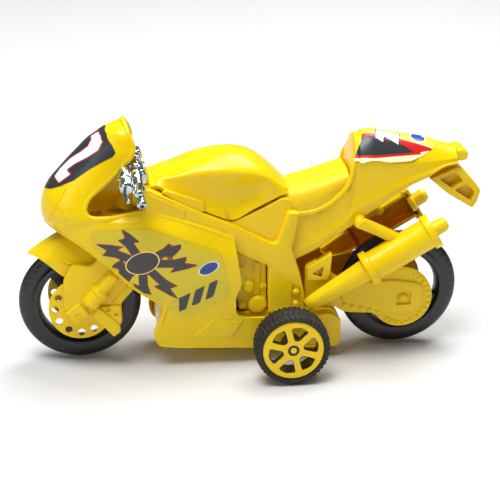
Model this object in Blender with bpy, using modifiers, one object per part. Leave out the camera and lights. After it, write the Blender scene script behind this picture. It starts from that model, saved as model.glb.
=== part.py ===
"""Moulded-plastic pull-back motorcycle toy, about 155 mm long.

The toy faces -X, +Y is its right-hand side and +Z is up.  Side-view positions are (x, z) pairs in
millimetres measured from the drive axle along X and from the floor along Z.  They hang on one
empty that shifts the toy along X, so that its overall length is centred on the origin.
"""

import math

import bmesh
import bpy
from mathutils import Matrix, Vector

MM = 0.001

# Driving dimensions, millimetres
WHEEL_RADIUS = 20.45
FRONT_AXLE_AHEAD = 67.9
REAR_AXLE_BEHIND = 41.1
MUDGUARD_REACH = 67.1
DRIVE_WHEEL_RADIUS = 12.5
DRIVE_TRACK_OUT = 31.35
DRIVE_TYRE_WIDTH = 9.0
BEAM_OUT = 12.9
PLATE_IN = 8.3
TUB_OUT = 10.9
FAIRING_WALL = 1.2
SHELL_WALL = 1.2
AXLE_RADIUS = 1.0
SPIN_FIT = 0.35
GAP = 0.35
STEER_LEAN = math.radians(70.0)
HEAD_AHEAD = 50.0
HEAD_HEIGHT = 60.0
STEM_RADIUS = 2.0
HANDLEBAR_HALF = 28.5
HANDLEBAR_HEIGHT = 67.2
GEAR_MODULE = 0.5
AXLE_TEETH = 12
IDLER_TEETH = 24
IDLER_PINION_TEETH = 10
BARREL_TEETH = 30
GEAR_WIDTH = 2.2

# Sizes that follow from the driving dimensions
FRONT_AXLE = (-FRONT_AXLE_AHEAD, WHEEL_RADIUS)
REAR_AXLE = (REAR_AXLE_BEHIND, WHEEL_RADIUS)
DRIVE_AXLE = (0.0, DRIVE_WHEEL_RADIUS)
FRONT_REACH = FRONT_AXLE_AHEAD + WHEEL_RADIUS
CENTRE_SHIFT = (FRONT_REACH - MUDGUARD_REACH) / 2.0
BORE_RADIUS = AXLE_RADIUS + SPIN_FIT
IDLER_DISTANCE = GEAR_MODULE * (AXLE_TEETH + IDLER_TEETH) / 2.0
BARREL_DISTANCE = GEAR_MODULE * (IDLER_PINION_TEETH + BARREL_TEETH) / 2.0
IDLER_ANGLE = math.radians(140.0)
IDLER = (IDLER_DISTANCE * math.cos(IDLER_ANGLE), DRIVE_WHEEL_RADIUS + IDLER_DISTANCE * math.sin(IDLER_ANGLE))
BARREL = (IDLER[0] - BARREL_DISTANCE, IDLER[1])
SCREWS = {"screw_front": (-34.5, 12.0), "screw_rear": (13.0, 10.5), "screw_top": (-33.0, 52.0)}

# Side outlines, millimetres
BEAM = [(-46.8, 63.6), (-44.8, 63.1), (-27.1, 54.0), (-17.3, 49.7), (-4.8, 43.0), (-3.1, 43.3),
        (0.4, 53.9), (4.5, 53.4), (2.4, 43.0), (1.8, 41.1), (4.8, 31.8), (6.6, 23.6), (6.6, 17.8),
        (-5.6, 17.8), (-6.0, 35.0), (-15.9, 39.8), (-30.0, 46.0), (-46.8, 54.5)]
INFILL = [(-19.6, 48.6), (-18.6, 50.0), (-10.0, 53.5), (-1.4, 57.9), (0.7, 57.6), (2.6, 52.3),
          (-0.8, 39.2), (-9.6, 41.6)]
TUB = [(-40.4, 20.0), (-42.3, 15.4), (-42.3, 10.4), (-40.5, 8.0), (-38.0, 7.2), (-11.1, 5.8),
       (16.4, 4.6), (19.4, 5.0), (18.9, 15.0), (16.3, 17.9), (6.3, 18.2), (-17.0, 18.0), (-20.0, 27.0),
       (-24.0, 49.5), (-28.0, 50.0), (-33.0, 21.5)]
TUB_ROOM = [(-40.6, 10.9), (-38.0, 8.8), (-11.1, 7.4), (16.4, 6.2), (17.7, 6.4), (17.3, 14.4),
            (15.6, 16.1), (4.6, 16.4), (3.2, 30.0), (-27.6, 30.0), (-29.4, 20.0), (-39.2, 18.5)]
ENGINE = [(-15.3, 18.4), (-6.0, 18.4), (-6.4, 34.6), (-15.6, 39.2), (-19.6, 41.0), (-16.6, 27.0)]
ENGINE_KNOBS = [(-12.3, 27.0, 2.2, 12.0), (-9.6, 21.6, 3.0, 11.8), (-14.0, 21.0, 1.3, 11.4),
                (-7.6, 27.4, 1.0, 10.9)]
SWINGARM = [(7.4, 18.7), (16.6, 18.7), (20.4, 16.2), (22.8, 15.8)]
HEEL = [(30.0, 30.4), (18.5, 28.5), (15.4, 30.8), (15.8, 37.9), (15.0, 37.7), (7.4, 33.0)]
HEEL_WINDOW = [(9.0, 31.0), (12.9, 33.4), (12.5, 29.4)]
SWINGARM_RIDGE = [(19.0, 20.6), (36.5, 15.4), (45.0, 16.2), (45.2, 25.0), (37.0, 27.2), (20.0, 27.2)]
CHAIN_DISC_RADIUS = 10.6
FORK = [(-73.4, 31.5), (-73.4, 21.4), (-68.4, 15.8), (-63.0, 16.5), (-57.0, 12.1), (-54.3, 16.1),
        (-54.5, 22.7), (-50.0, 28.0), (-48.6, 36.0), (-51.0, 48.9), (-59.5, 48.9), (-62.5, 38.0),
        (-64.5, 36.3), (-70.6, 36.8)]
CALIPER = [(-63.0, 16.7), (-57.0, 12.4), (-54.6, 16.2), (-54.8, 22.2), (-62.5, 22.2)]
MUDGUARD = [(49.2, 60.9), (58.4, 64.9), (61.2, 63.1), (65.2, 58.8), (MUDGUARD_REACH, 56.0),
            (66.2, 52.4), (64.7, 49.8), (56.0, 55.2)]
MUDGUARD_POCKETS = [[(52.6, 60.6), (57.9, 62.9), (60.9, 59.7), (57.0, 57.2)],
                    [(58.0, 56.6), (61.8, 58.8), (65.0, 55.6), (64.0, 52.4)]]

# Fairing rows: a point on the outer lip, a point on the cockpit side, and the roundness between
FAIRING_ROWS = [
    ((-53.3, 0.0, 83.2), (-52.4, 2.5, 83.2), 1.0),
    ((-58.0, 0.0, 81.0), (-51.3, 7.0, 80.6), 1.0),
    ((-62.6, 0.0, 78.2), (-49.8, 9.0, 75.9), 1.0),
    ((-68.4, 0.0, 72.7), (-53.8, 10.0, 70.2), 1.0),
    ((-73.5, 0.0, 67.2), (-59.9, 10.8, 64.6), 1.0),
    ((-77.2, 0.0, 62.6), (-64.5, 11.6, 60.4), 1.0),
    ((-79.2, 0.0, 58.6), (-65.8, 12.6, 57.2), 1.0),
    ((-79.8, 0.0, 54.8), (-65.2, 13.4, 55.2), 1.0),
    ((-79.4, 0.0, 51.2), (-63.4, 13.9, 54.3), 0.95),
    ((-77.4, 2.5, 49.3), (-60.0, 14.4, 54.3), 0.85),
    ((-73.5, 8.0, 47.9), (-56.5, 14.8, 54.4), 0.6),
    ((-68.5, 11.5, 45.6), (-52.8, 15.2, 54.8), 0.4),
    ((-60.0, 13.3, 38.9), (-47.5, 15.6, 55.6), 0.2),
    ((-50.2, 14.0, 29.5), (-42.5, 15.8, 54.6), 0.1),
    ((-41.0, 13.6, 20.4), (-36.0, 15.9, 52.6), 0.0),
    ((-43.4, 12.9, 12.5), (-31.0, 16.0, 50.8), 0.0),
    ((-42.0, 12.4, 8.2), (-28.4, 16.0, 49.8), 0.0),
    ((-38.0, 12.2, 7.2), (-26.0, 16.0, 48.9), 0.0),
    ((-26.0, 12.3, 6.5), (-22.0, 16.0, 47.2), 0.0),
    ((-17.5, 12.4, 6.1), (-17.6, 15.9, 45.4), 0.0),
    ((-11.0, 12.5, 5.8), (-12.0, 15.8, 43.0), 0.0),
    ((0.0, 12.4, 5.3), (0.0, 15.6, 38.0), 0.0),
    ((16.4, 11.8, 4.6), (14.0, 15.4, 36.0), 0.0),
    ((19.2, 11.4, 4.8), (18.0, 15.2, 36.0), 0.0)]
# What the fairing leaves open behind its side panel, above the belly
FAIRING_WINDOW = [(-17.5, 45.3), (-15.2, 30.1), (-17.1, 25.5), (-16.8, 18.8), (-13.8, 17.4), (15.6, 17.4),
                  (18.6, 14.8), (24.0, 14.0), (24.0, 50.0), (-17.5, 50.0)]
FAIRING_STEPS = 7
PANEL_BULGE = 1.6

# Half sections along X: (x, [(|y|, z), ...]) from the top centre line down to the rim
TANK_SECTIONS = [
    (-43.3, [(0, 65.2), (4.5, 65.0), (7.0, 64.5), (8.4, 64.0), (9.4, 63.8), (10.0, 63.6)]),
    (-37.0, [(0, 67.6), (5.2, 67.2), (8.6, 66.0), (9.2, 63.8), (9.9, 61.6), (10.8, 60.1)]),
    (-30.0, [(0, 70.3), (6.0, 69.8), (10.0, 67.2), (9.8, 63.0), (10.2, 59.4), (11.2, 56.4)]),
    (-23.0, [(0, 72.0), (6.6, 71.2), (11.2, 67.8), (9.8, 62.2), (9.6, 57.2), (11.0, 52.8)]),
    (-17.6, [(0, 72.4), (6.8, 71.5), (11.8, 67.8), (9.6, 62.0), (9.2, 56.4), (10.9, 51.2)]),
    (-11.0, [(0, 71.0), (6.6, 70.3), (11.7, 67.0), (9.6, 63.0), (9.2, 58.6), (10.7, 54.4)]),
    (-5.0, [(0, 67.2), (6.0, 66.8), (10.6, 64.4), (9.6, 62.2), (9.4, 60.0), (10.3, 57.5)]),
    (-1.2, [(0, 63.6), (5.0, 63.2), (8.8, 62.0), (9.0, 61.2), (9.3, 60.2), (9.8, 59.4)]),
    (0.8, [(0, 61.6), (4.6, 61.4), (8.2, 60.6), (8.6, 60.0), (8.9, 59.6), (9.2, 59.2)])]
SEAT_SECTIONS = [
    (1.7, [(0, 60.3), (5.0, 60.2), (8.0, 59.2), (9.3, 57.0), (9.4, 54.8)]),
    (4.5, [(0, 60.9), (5.4, 60.8), (8.8, 59.6), (10.1, 57.0), (9.9, 54.4)]),
    (9.0, [(0, 62.0), (5.6, 61.9), (9.0, 60.6), (10.4, 57.2), (10.0, 53.6)]),
    (15.0, [(0, 63.8), (5.6, 63.7), (8.8, 62.6), (10.2, 60.0), (9.9, 56.9)]),
    (20.9, [(0, 65.8), (5.2, 65.7), (8.2, 64.9), (9.4, 63.4), (9.3, 61.9)])]
DISC_HOLES = 12
DISC_HOLE_CIRCLE = 8.4
DISC_HOLE_RADIUS = 1.25
TAIL_STATIONS = [  # x, top z, half width, shoulder drop, lower edge z, lower half width
    (5.2, 52.0, 10.2, 0.5, 37.0, 10.5), (11.9, 53.0, 10.3, 0.5, 40.4, 10.5),
    (16.0, 56.2, 10.2, 0.5, 43.2, 10.4), (20.6, 60.2, 10.1, 0.5, 46.2, 10.3),
    (21.5, 61.6, 9.9, 0.8, 46.8, 10.2), (22.1, 69.0, 9.4, 4.0, 47.2, 10.2),
    (23.0, 74.6, 9.2, 6.5, 47.8, 10.1), (25.0, 76.0, 9.2, 7.5, 49.2, 10.0),
    (28.2, 77.2, 9.2, 8.0, 51.4, 9.9), (35.0, 76.3, 9.1, 8.0, 56.0, 9.6),
    (42.0, 75.0, 8.7, 7.4, 60.3, 9.2), (48.0, 73.8, 8.0, 6.0, 62.8, 8.6),
    (54.0, 71.9, 7.0, 4.0, 65.9, 7.4), (58.3, 70.8, 6.0, 2.6, 66.3, 6.2)]
FENDER_SECTIONS = [
    (-83.0, [(0, 39.6), (1.6, 39.4), (2.6, 39.0), (3.2, 38.6)]),
    (-80.0, [(0, 41.5), (3.2, 40.9), (5.6, 38.8), (5.9, 37.4)]),
    (-76.5, [(0, 43.5), (3.8, 42.7), (6.8, 38.2), (7.0, 34.8)]),
    (-73.4, [(0, 45.0), (4.0, 44.1), (7.2, 37.4), (7.4, 32.2)]),
    (-69.0, [(0, 45.8), (4.2, 44.9), (7.4, 36.9), (7.6, 31.6)]),
    (-64.0, [(0, 45.2), (4.2, 44.3), (7.4, 36.4), (7.6, 31.6)]),
    (-58.5, [(0, 43.2), (4.2, 42.3), (7.2, 36.0), (7.4, 32.0)])]

# Exhaust: distance along its sloping axis and radius
EXHAUST_FOOT = (8.4, 21.6)
EXHAUST_SLOPE = math.radians(31.0)
EXHAUST_OUT = 14.1
EXHAUST_PROFILE = [(0.0, 3.2), (1.5, 3.8), (21.5, 3.8), (21.5, 6.1), (24.3, 6.1), (24.3, 5.15),
                   (45.2, 5.15), (45.2, 6.1), (47.6, 6.1), (47.6, 2.5), (52.0, 2.5), (52.6, 1.9)]
EXHAUST_CUT = 12.4


def clear_scene():
    """Remove what the file opens with."""
    for obj in list(bpy.data.objects):
        bpy.data.objects.remove(obj, do_unlink=True)


def new_collection(name):
    """A collection linked to the scene."""
    group = bpy.data.collections.new(name)
    bpy.context.scene.collection.children.link(group)
    return group


clear_scene()
PARTS = new_collection("pullback_motorcycle")
CUTTERS = new_collection("cutters")


def make_material(name, color, roughness, metallic=0.0):
    """A Principled material of one colour."""
    material = bpy.data.materials.new(name)
    material.use_nodes = True
    shader = material.node_tree.nodes["Principled BSDF"]
    shader.inputs["Base Color"].default_value = (*color, 1.0)
    shader.inputs["Roughness"].default_value = roughness
    shader.inputs["Metallic"].default_value = metallic
    material.diffuse_color = (*color, 1.0)
    return material


YELLOW = make_material("yellow_moulded_plastic", (0.88, 0.66, 0.01), 0.3)
BLACK = make_material("black_wheel_plastic", (0.02, 0.022, 0.025), 0.5)
RUBBER = make_material("black_rubber", (0.015, 0.015, 0.016), 0.75)
CHROME = make_material("vacuum_plated_chrome", (0.75, 0.78, 0.8), 0.12, 1.0)
STEEL = make_material("bright_steel", (0.55, 0.55, 0.56), 0.3, 1.0)
NYLON = make_material("white_nylon", (0.8, 0.79, 0.74), 0.45)


def empty(name, x, z, parent=None):
    """An empty on the centre plane, placed relative to its parent."""
    obj = bpy.data.objects.new(name, None)
    PARTS.objects.link(obj)
    obj.parent = parent
    obj.location = (x * MM, 0.0, z * MM)
    return obj


def add_object(name, mesh, material, parent, at=(0.0, 0.0, 0.0)):
    """Link a mesh object to the parts, smooth where its faces meet gently."""
    obj = bpy.data.objects.new(name, mesh)
    mesh.materials.clear()
    mesh.materials.append(material)
    mesh.shade_smooth()
    mesh.set_sharp_from_angle(angle=math.radians(35.0))
    PARTS.objects.link(obj)
    obj.parent = parent
    obj.location = Vector(at) * MM
    return obj


def relative(points, origin):
    """Side-view points measured from another side-view point."""
    return [(x - origin[0], z - origin[1]) for x, z in points]


def slab_mesh(name, outline, y_from, y_to):
    """A flat outline in the XZ plane, extruded from one Y to another."""
    curve = bpy.data.curves.new(name + "_outline", "CURVE")
    curve.dimensions = "2D"
    curve.fill_mode = "BOTH"
    curve.extrude = abs(y_to - y_from) * MM / 2.0
    spline = curve.splines.new("POLY")
    spline.points.add(len(outline) - 1)
    for point, (x, z) in zip(spline.points, outline):
        point.co = (x * MM, z * MM, 0.0, 1.0)
    spline.use_cyclic_u = True
    holder = bpy.data.objects.new(name + "_holder", curve)
    CUTTERS.objects.link(holder)
    bpy.context.view_layer.update()
    mesh = bpy.data.meshes.new_from_object(holder.evaluated_get(bpy.context.evaluated_depsgraph_get()))
    bpy.data.objects.remove(holder, do_unlink=True)
    upright = Matrix.Rotation(math.radians(90.0), 4, "X")
    middle = Matrix.Translation((0.0, (y_from + y_to) * MM / 2.0, 0.0))
    mesh.transform(middle @ upright)
    tidy_mesh(mesh)
    return mesh


def tidy_mesh(mesh):
    """Weld coincident corners and point the faces outward."""
    work = bmesh.new()
    work.from_mesh(mesh)
    bmesh.ops.remove_doubles(work, verts=work.verts, dist=1e-6)
    bmesh.ops.recalc_face_normals(work, faces=work.faces)
    work.to_mesh(mesh)
    work.free()


def slab(name, outline, y_from, y_to, material, parent):
    """A flat plate object."""
    return add_object(name, slab_mesh(name, outline, y_from, y_to), material, parent)


def turned(name, profile, material, parent, at=(0.0, 0.0, 0.0), closed=False, steps=40):
    """A turned part about a crosswise axis, its profile (radius, height) top to bottom."""
    mesh = bpy.data.meshes.new(name)
    corners = [(radius * MM, 0.0, height * MM) for radius, height in profile]
    count = len(corners)
    edges = [(i, i + 1) for i in range(count - 1)]
    if closed:
        edges.append((count - 1, 0))
    mesh.from_pydata(corners, edges, [])
    obj = add_object(name, mesh, material, parent, at)
    obj.rotation_euler = (math.radians(90.0), 0.0, 0.0)
    screw = obj.modifiers.new("turn", "SCREW")
    screw.axis = "Z"
    screw.steps = steps
    screw.render_steps = steps
    screw.use_merge_vertices = True
    screw.merge_threshold = 1e-5
    screw.use_smooth_shade = True
    return obj


def ring(name, outer, inner, half, material, parent, at=(0.0, 0.0, 0.0), steps=40):
    """A plain flat-sided ring about a crosswise axis."""
    profile = [(outer, half), (outer, -half), (inner, -half), (inner, half)]
    return turned(name, profile, material, parent, at, True, steps)


def rod_mesh(start, end, radius, sides=20, end_radius=None):
    """A straight round rod between two 3-D points in millimetres."""
    work = bmesh.new()
    a = Vector(start) * MM
    b = Vector(end) * MM
    far_radius = radius if end_radius is None else end_radius
    bmesh.ops.create_cone(work, cap_ends=True, segments=sides, radius1=radius * MM,
                          radius2=far_radius * MM, depth=(b - a).length)
    turn = Vector((0.0, 0.0, 1.0)).rotation_difference(b - a).to_matrix().to_4x4()
    bmesh.ops.transform(work, matrix=Matrix.Translation((a + b) / 2.0) @ turn, verts=work.verts)
    mesh = bpy.data.meshes.new("rod")
    work.to_mesh(mesh)
    work.free()
    return mesh


def rod(name, start, end, radius, material, parent, sides=20, end_radius=None):
    """A straight round rod object."""
    return add_object(name, rod_mesh(start, end, radius, sides, end_radius), material, parent)


def cross_rod(name, x, z, y_from, y_to, radius, material, parent, sides=20):
    """A rod lying across the toy."""
    return rod(name, (x, y_from, z), (x, y_to, z), radius, material, parent, sides)


def box(name, low, high, material, parent):
    """A block between two corners."""
    work = bmesh.new()
    bmesh.ops.create_cube(work, size=1.0)
    size = (Vector(high) - Vector(low)) * MM
    middle = (Vector(high) + Vector(low)) * MM / 2.0
    fit = Matrix.Translation(middle) @ Matrix.Diagonal((*size, 1.0))
    bmesh.ops.transform(work, matrix=fit, verts=work.verts)
    mesh = bpy.data.meshes.new(name)
    work.to_mesh(mesh)
    work.free()
    return add_object(name, mesh, material, parent)


def boolean(target, tool, operation):
    """Join a shape to a part, or cut it away, and put the shape with the cutters."""
    modifier = target.modifiers.new(operation.lower(), "BOOLEAN")
    modifier.operation = operation
    modifier.object = tool
    modifier.solver = "EXACT"
    PARTS.objects.unlink(tool)
    CUTTERS.objects.link(tool)
    tool.hide_render = True
    tool.display_type = "WIRE"


def join(target, *tools):
    """Union each shape with a part."""
    for tool in tools:
        boolean(target, tool, "UNION")


def cut(target, *tools):
    """Cut each shape out of a part."""
    for tool in tools:
        boolean(target, tool, "DIFFERENCE")


def shell(name, rows, wall, material, parent):
    """A thin mirrored shell over rows of half-section points, the left half given by |y|."""
    work = bmesh.new()
    grid = [[work.verts.new((x * MM, -y * MM, z * MM)) for x, y, z in row] for row in rows]
    for upper, lower in zip(grid, grid[1:]):
        for i in range(len(upper) - 1):
            work.faces.new((upper[i], upper[i + 1], lower[i + 1], lower[i]))
    mesh = bpy.data.meshes.new(name)
    work.to_mesh(mesh)
    work.free()
    obj = add_object(name, mesh, material, parent)
    mirror = obj.modifiers.new("other_side", "MIRROR")
    mirror.use_axis = (False, True, False)
    mirror.merge_threshold = 1e-5
    solidify = obj.modifiers.new("wall", "SOLIDIFY")
    solidify.thickness = wall * MM
    solidify.offset = -1.0
    return obj


def gear_outline(teeth, module, phase, origin=(0.0, 0.0)):
    """A stub spur-gear outline: straight-flanked teeth with a little backlash."""
    pitch = teeth * module / 2.0
    tip = pitch + 0.7 * module
    root = pitch - 0.95 * module
    step = 2.0 * math.pi / teeth
    points = []
    for tooth in range(teeth):
        for radius, part in ((root, -0.34), (tip, -0.12), (tip, 0.12), (root, 0.34)):
            angle = phase + (tooth + part) * step
            points.append((origin[0] + radius * math.cos(angle), origin[1] + radius * math.sin(angle)))
    return points


def side_name(name, side):
    """The name of a left (-1) or right (+1) piece."""
    return name + ("_left" if side < 0 else "_right")


def fairing_rows():
    """Rows of the fairing: arcs from the outer lip to the cockpit edge, flatter along the panels."""
    rows = []
    for lip, edge, roundness in FAIRING_ROWS:
        row = []
        for i in range(FAIRING_STEPS + 1):
            share = i / FAIRING_STEPS
            turn = share * math.pi / 2.0
            along = (1.0 - roundness) * share + roundness * (1.0 - math.cos(turn))
            out = (1.0 - roundness) * share + roundness * math.sin(turn)
            swell = PANEL_BULGE * (1.0 - roundness) * 4.0 * share * (1.0 - share)
            row.append((lip[0] + (edge[0] - lip[0]) * along,
                        lip[1] + (edge[1] - lip[1]) * out + swell,
                        lip[2] + (edge[2] - lip[2]) * along))
        rows.append(row)
    return rows


def section_rows(sections):
    """Rows for a shell from named half sections."""
    return [[(x, y, z) for y, z in section] for x, section in sections]


def tail_rows():
    """Rows of the tail: a domed top over flat sides that taper to the lamp."""
    rows = []
    for x, top, half, drop, low, low_half in TAIL_STATIONS:
        row = []
        for i in range(5):
            turn = i / 4.0 * math.pi / 2.0
            row.append((x, half * math.sin(turn), top - drop * (1.0 - math.cos(turn))))
        row.append((x, (half + low_half) / 2.0, (top - drop + low) / 2.0))
        row.append((x, low_half, low))
        rows.append(row)
    return rows


def build_shells(body):
    """The thin covers: fairing, tank, seat, tail cowl and lamp."""
    fairing = shell("fairing", fairing_rows(), FAIRING_WALL, YELLOW, body)
    cut(fairing, slab("fairing_window", FAIRING_WINDOW, -20.0, 20.0, YELLOW, body),
        cross_rod("fairing_axle_hole", *DRIVE_AXLE, -20.0, 20.0, BORE_RADIUS + 0.5, YELLOW, body))
    shell("fuel_tank", section_rows(TANK_SECTIONS), SHELL_WALL, YELLOW, body)
    shell("seat", section_rows(SEAT_SECTIONS), SHELL_WALL, YELLOW, body)
    shell("tail_cowl", tail_rows(), SHELL_WALL, YELLOW, body)
    box("tail_lamp", (58.7, -4.6, 66.6), (62.2, 4.6, 70.2), YELLOW, body)


def build_frame(body, side):
    """One half of the frame: beam and pillar, infill plate, motor tub and screw posts."""
    name = side_name("frame", side)
    frame = slab(name, BEAM, side * PLATE_IN, side * BEAM_OUT, YELLOW, body)
    infill = slab(name + "_infill", INFILL, side * (PLATE_IN + 0.2), side * 10.7, YELLOW, body)
    tub = slab(name + "_tub", TUB, side * GAP / 2.0, side * TUB_OUT, YELLOW, body)
    room = slab(name + "_room", TUB_ROOM, 0.0, side * (TUB_OUT - 1.6), YELLOW, body)
    shaft = [(-40.0, 60.0), (-40.0, 25.0), (4.0, 25.0), (4.0, 60.0)]
    well = slab(name + "_well", shaft, 0.0, side * (PLATE_IN + 0.1), YELLOW, body)
    cut(tub, room, well)
    join(frame, infill, tub)
    for screw, (x, z) in SCREWS.items():
        post = cross_rod(name + "_post_" + screw, x, z, side * GAP / 2.0, side * (TUB_OUT - 0.5), 3.4,
                         YELLOW, body)
        join(frame, post)
        reach = side * 20.0 if side > 0 else side * 6.0
        hole = cross_rod(name + "_hole_" + screw, x, z, 0.0, reach, 1.0 + GAP, YELLOW, body)
        cut(frame, hole)
        if side > 0:
            seat = cross_rod(name + "_sink_" + screw, x, z, TUB_OUT - 2.4, 20.0, 2.2 + GAP, YELLOW, body)
            cut(frame, seat)
    axle_hole = cross_rod(name + "_axle_hole", *DRIVE_AXLE, 0.0, side * 20.0, BORE_RADIUS + 0.25,
                          YELLOW, body)
    cut(frame, axle_hole)
    for z in (21.2, 25.2):
        bump = cross_rod(name + "_bump_%d" % round(z), 3.6, z, side * 12.0, side * 13.6, 1.1, YELLOW,
                         body, 12)
        join(frame, bump)


def build_screws(body):
    """Three cross screws that hold the frame halves together, heads on the right-hand side."""
    for name, (x, z) in SCREWS.items():
        screw = cross_rod(name, x, z, -5.4, TUB_OUT - 1.6, 1.0, STEEL, body, 12)
        head = cross_rod(name + "_head", x, z, TUB_OUT - 2.0, TUB_OUT - 0.6, 2.0, STEEL, body, 16)
        slot = box(name + "_slot", (x - 1.4, TUB_OUT - 1.2, z - 0.25), (x + 1.4, TUB_OUT, z + 0.25),
                   STEEL, body)
        join(screw, head)
        cut(screw, slot)


def build_engine(body, side):
    """The engine side seen through the frame window, with its round covers."""
    name = side_name("engine", side)
    engine = slab(name, ENGINE, side * 8.7, side * 9.9, YELLOW, body)
    for i, (x, z, radius, out) in enumerate(ENGINE_KNOBS):
        knob = cross_rod(name + "_knob_%d" % i, x, z, side * 9.2, side * out, radius, YELLOW, body, 18)
        join(engine, knob)


def build_swingarm(body, side):
    """Swingarm, heel guard and chain cover as one moulding."""
    name = side_name("swingarm", side)
    outline = list(SWINGARM)
    for i in range(19):
        angle = math.radians(-150.0 + i * 250.0 / 18.0)
        outline.append((REAR_AXLE[0] - 0.8 + CHAIN_DISC_RADIUS * math.cos(angle),
                        REAR_AXLE[1] + CHAIN_DISC_RADIUS * math.sin(angle)))
    outline += HEEL
    arm = slab(name, outline, side * 8.7, side * 10.8, YELLOW, body)
    ridge = slab(name + "_ridge", SWINGARM_RIDGE, side * 9.5, side * 11.6, YELLOW, body)
    join(arm, ridge)
    window = slab(name + "_window", HEEL_WINDOW, side * 8.0, side * 12.0, YELLOW, body)
    x, z = REAR_AXLE
    recess = box(name + "_recess", (x - 2.9, min(side * 10.6, side * 12.0), z - 2.7),
                 (x + 2.9, max(side * 10.6, side * 12.0), z + 2.7), YELLOW, body)
    cut(arm, window, recess)
    bolt = cross_rod(name + "_bolt", x, z, side * 10.2, side * 11.5, 1.7, YELLOW, body, 16)
    join(arm, bolt)
    bore = cross_rod(name + "_bore", x, z, 0.0, side * 10.1, AXLE_RADIUS + GAP, YELLOW, body)
    cut(arm, bore)


def build_exhaust(body, side):
    """Half-round silencer and pipe, hollow and open towards the wheel, with its hanger."""
    name = side_name("exhaust", side)
    profile = [(radius, reach) for reach, radius in reversed(EXHAUST_PROFILE)]
    profile = [(0.0, profile[0][1])] + profile + [(0.0, 0.0)]
    pipe = turned(name, profile, YELLOW, body, (EXHAUST_FOOT[0], side * EXHAUST_OUT, EXHAUST_FOOT[1]),
                  steps=24)
    pipe.rotation_euler = (0.0, math.pi / 2.0 - EXHAUST_SLOPE, 0.0)
    reach = EXHAUST_PROFILE[-1][0]
    inner = [(0.0, reach - 6.2), (4.1, reach - 6.2), (4.1, 22.6), (2.8, 21.0), (2.8, 1.2), (0.0, 1.2)]
    hollow = turned(name + "_hollow", inner, YELLOW, body,
                    (EXHAUST_FOOT[0], side * EXHAUST_OUT, EXHAUST_FOOT[1]), steps=24)
    hollow.rotation_euler = pipe.rotation_euler
    low = min(side * EXHAUST_CUT, 0.0)
    high = max(side * EXHAUST_CUT, 0.0)
    inboard = box(name + "_inboard", (0.0, low, 0.0), (70.0, high, 70.0), YELLOW, body)
    hanger = rod(name + "_hanger", (24.4, side * 12.2, 49.2), (35.6, side * 13.4, 44.2), 1.5, YELLOW,
                 body, 12)
    stub = rod(name + "_stub", (24.8, side * 10.75, 49.0), (24.8, side * 13.2, 49.0), 1.5, YELLOW,
               body, 12)
    cut(pipe, hollow, inboard)
    join(pipe, hanger, stub)


def build_mudguard(body):
    """Rear mudguard and plate holder with sunk panels on both sides."""
    guard = slab("rear_mudguard", MUDGUARD, -5.2, 5.2, YELLOW, body)
    for side in (-1, 1):
        for i, pocket in enumerate(MUDGUARD_POCKETS):
            cut(guard, slab("mudguard_pocket_%d_%d" % (side, i), pocket, side * 1.0, side * 6.0,
                            YELLOW, body))


def build_wheel(prefix, parent, spoke_start):
    """A black spoked rim with its tyre, about the parent's crosswise axis."""
    rim = ring(prefix + "_rim", 15.6, 13.7, 4.0, BLACK, parent, steps=36)
    hub = ring(prefix + "_hub", 3.2, BORE_RADIUS, 5.8, BLACK, parent, steps=24)
    spokes = []
    for i in range(3):
        angle = math.radians(spoke_start + 120.0 * i)
        away = Vector((math.cos(angle), 0.0, math.sin(angle)))
        across = Vector((-math.sin(angle), 0.0, math.cos(angle)))
        corners = [away * 2.2 - across * 1.9, away * 2.2 + across * 1.9,
                   away * 14.6 + across * 1.5, away * 14.6 - across * 1.5]
        spokes.append(slab(prefix + "_spoke_%d" % i, [(c.x, c.z) for c in corners], -2.4, 2.4,
                           BLACK, parent))
    join(rim, hub, *spokes)
    cut(rim, cross_rod(prefix + "_bore", 0.0, 0.0, -8.0, 8.0, BORE_RADIUS, BLACK, parent, 24))
    tread = WHEEL_RADIUS
    profile = [(tread, 1.4), (tread, -1.4), (tread - 1.0, -3.2), (tread - 2.6, -4.3),
               (15.9, -4.3), (15.9, 4.3), (tread - 2.6, 4.3), (tread - 1.0, 3.2)]
    turned(prefix + "_tyre", profile, RUBBER, parent, closed=True, steps=44)


def build_drive_wheel(parent, side):
    """Side drive wheel: windowed hub and ribbed tyre."""
    outer = DRIVE_TRACK_OUT
    middle = outer - DRIVE_TYRE_WIDTH / 2.0
    half = DRIVE_TYRE_WIDTH / 2.0
    name = side_name("drive_hub", side)
    hub_radius = DRIVE_WHEEL_RADIUS - 2.2
    hub = ring(name, hub_radius, hub_radius - 1.5, half, YELLOW, parent, (0.0, side * middle, 0.0))
    web = cross_rod(name + "_web", 0.0, 0.0, side * (outer - 3.4), side * (outer - 1.0),
                    hub_radius - 0.5, YELLOW, parent, 40)
    boss = cross_rod(name + "_boss", 0.0, 0.0, side * (outer - DRIVE_TYRE_WIDTH), side * (outer - 0.3),
                     2.4, YELLOW, parent, 24)
    for i in range(6):
        window = window_outline(math.radians(14.0 + 60.0 * i), 3.6, 7.9)
        cut(web, slab(name + "_window_%d" % i, window, side * (outer - 5.0), side * (outer + 1.0),
                      YELLOW, parent))
    join(hub, web, boss)
    cut(hub, cross_rod(name + "_bore", 0.0, 0.0, 0.0, side * (outer - 2.0), AXLE_RADIUS + GAP / 2.0 + 0.15,
                       YELLOW, parent))
    tyre_inner = hub_radius + GAP
    tyre = side_name("drive_tyre", side)
    profile = [(DRIVE_WHEEL_RADIUS, half - 0.9), (DRIVE_WHEEL_RADIUS, 0.9 - half),
               (DRIVE_WHEEL_RADIUS - 0.9, -half), (tyre_inner, -half), (tyre_inner, half),
               (DRIVE_WHEEL_RADIUS - 0.9, half)]
    turned(tyre, profile, RUBBER, parent, (0.0, side * middle, 0.0), True, 36)


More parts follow.
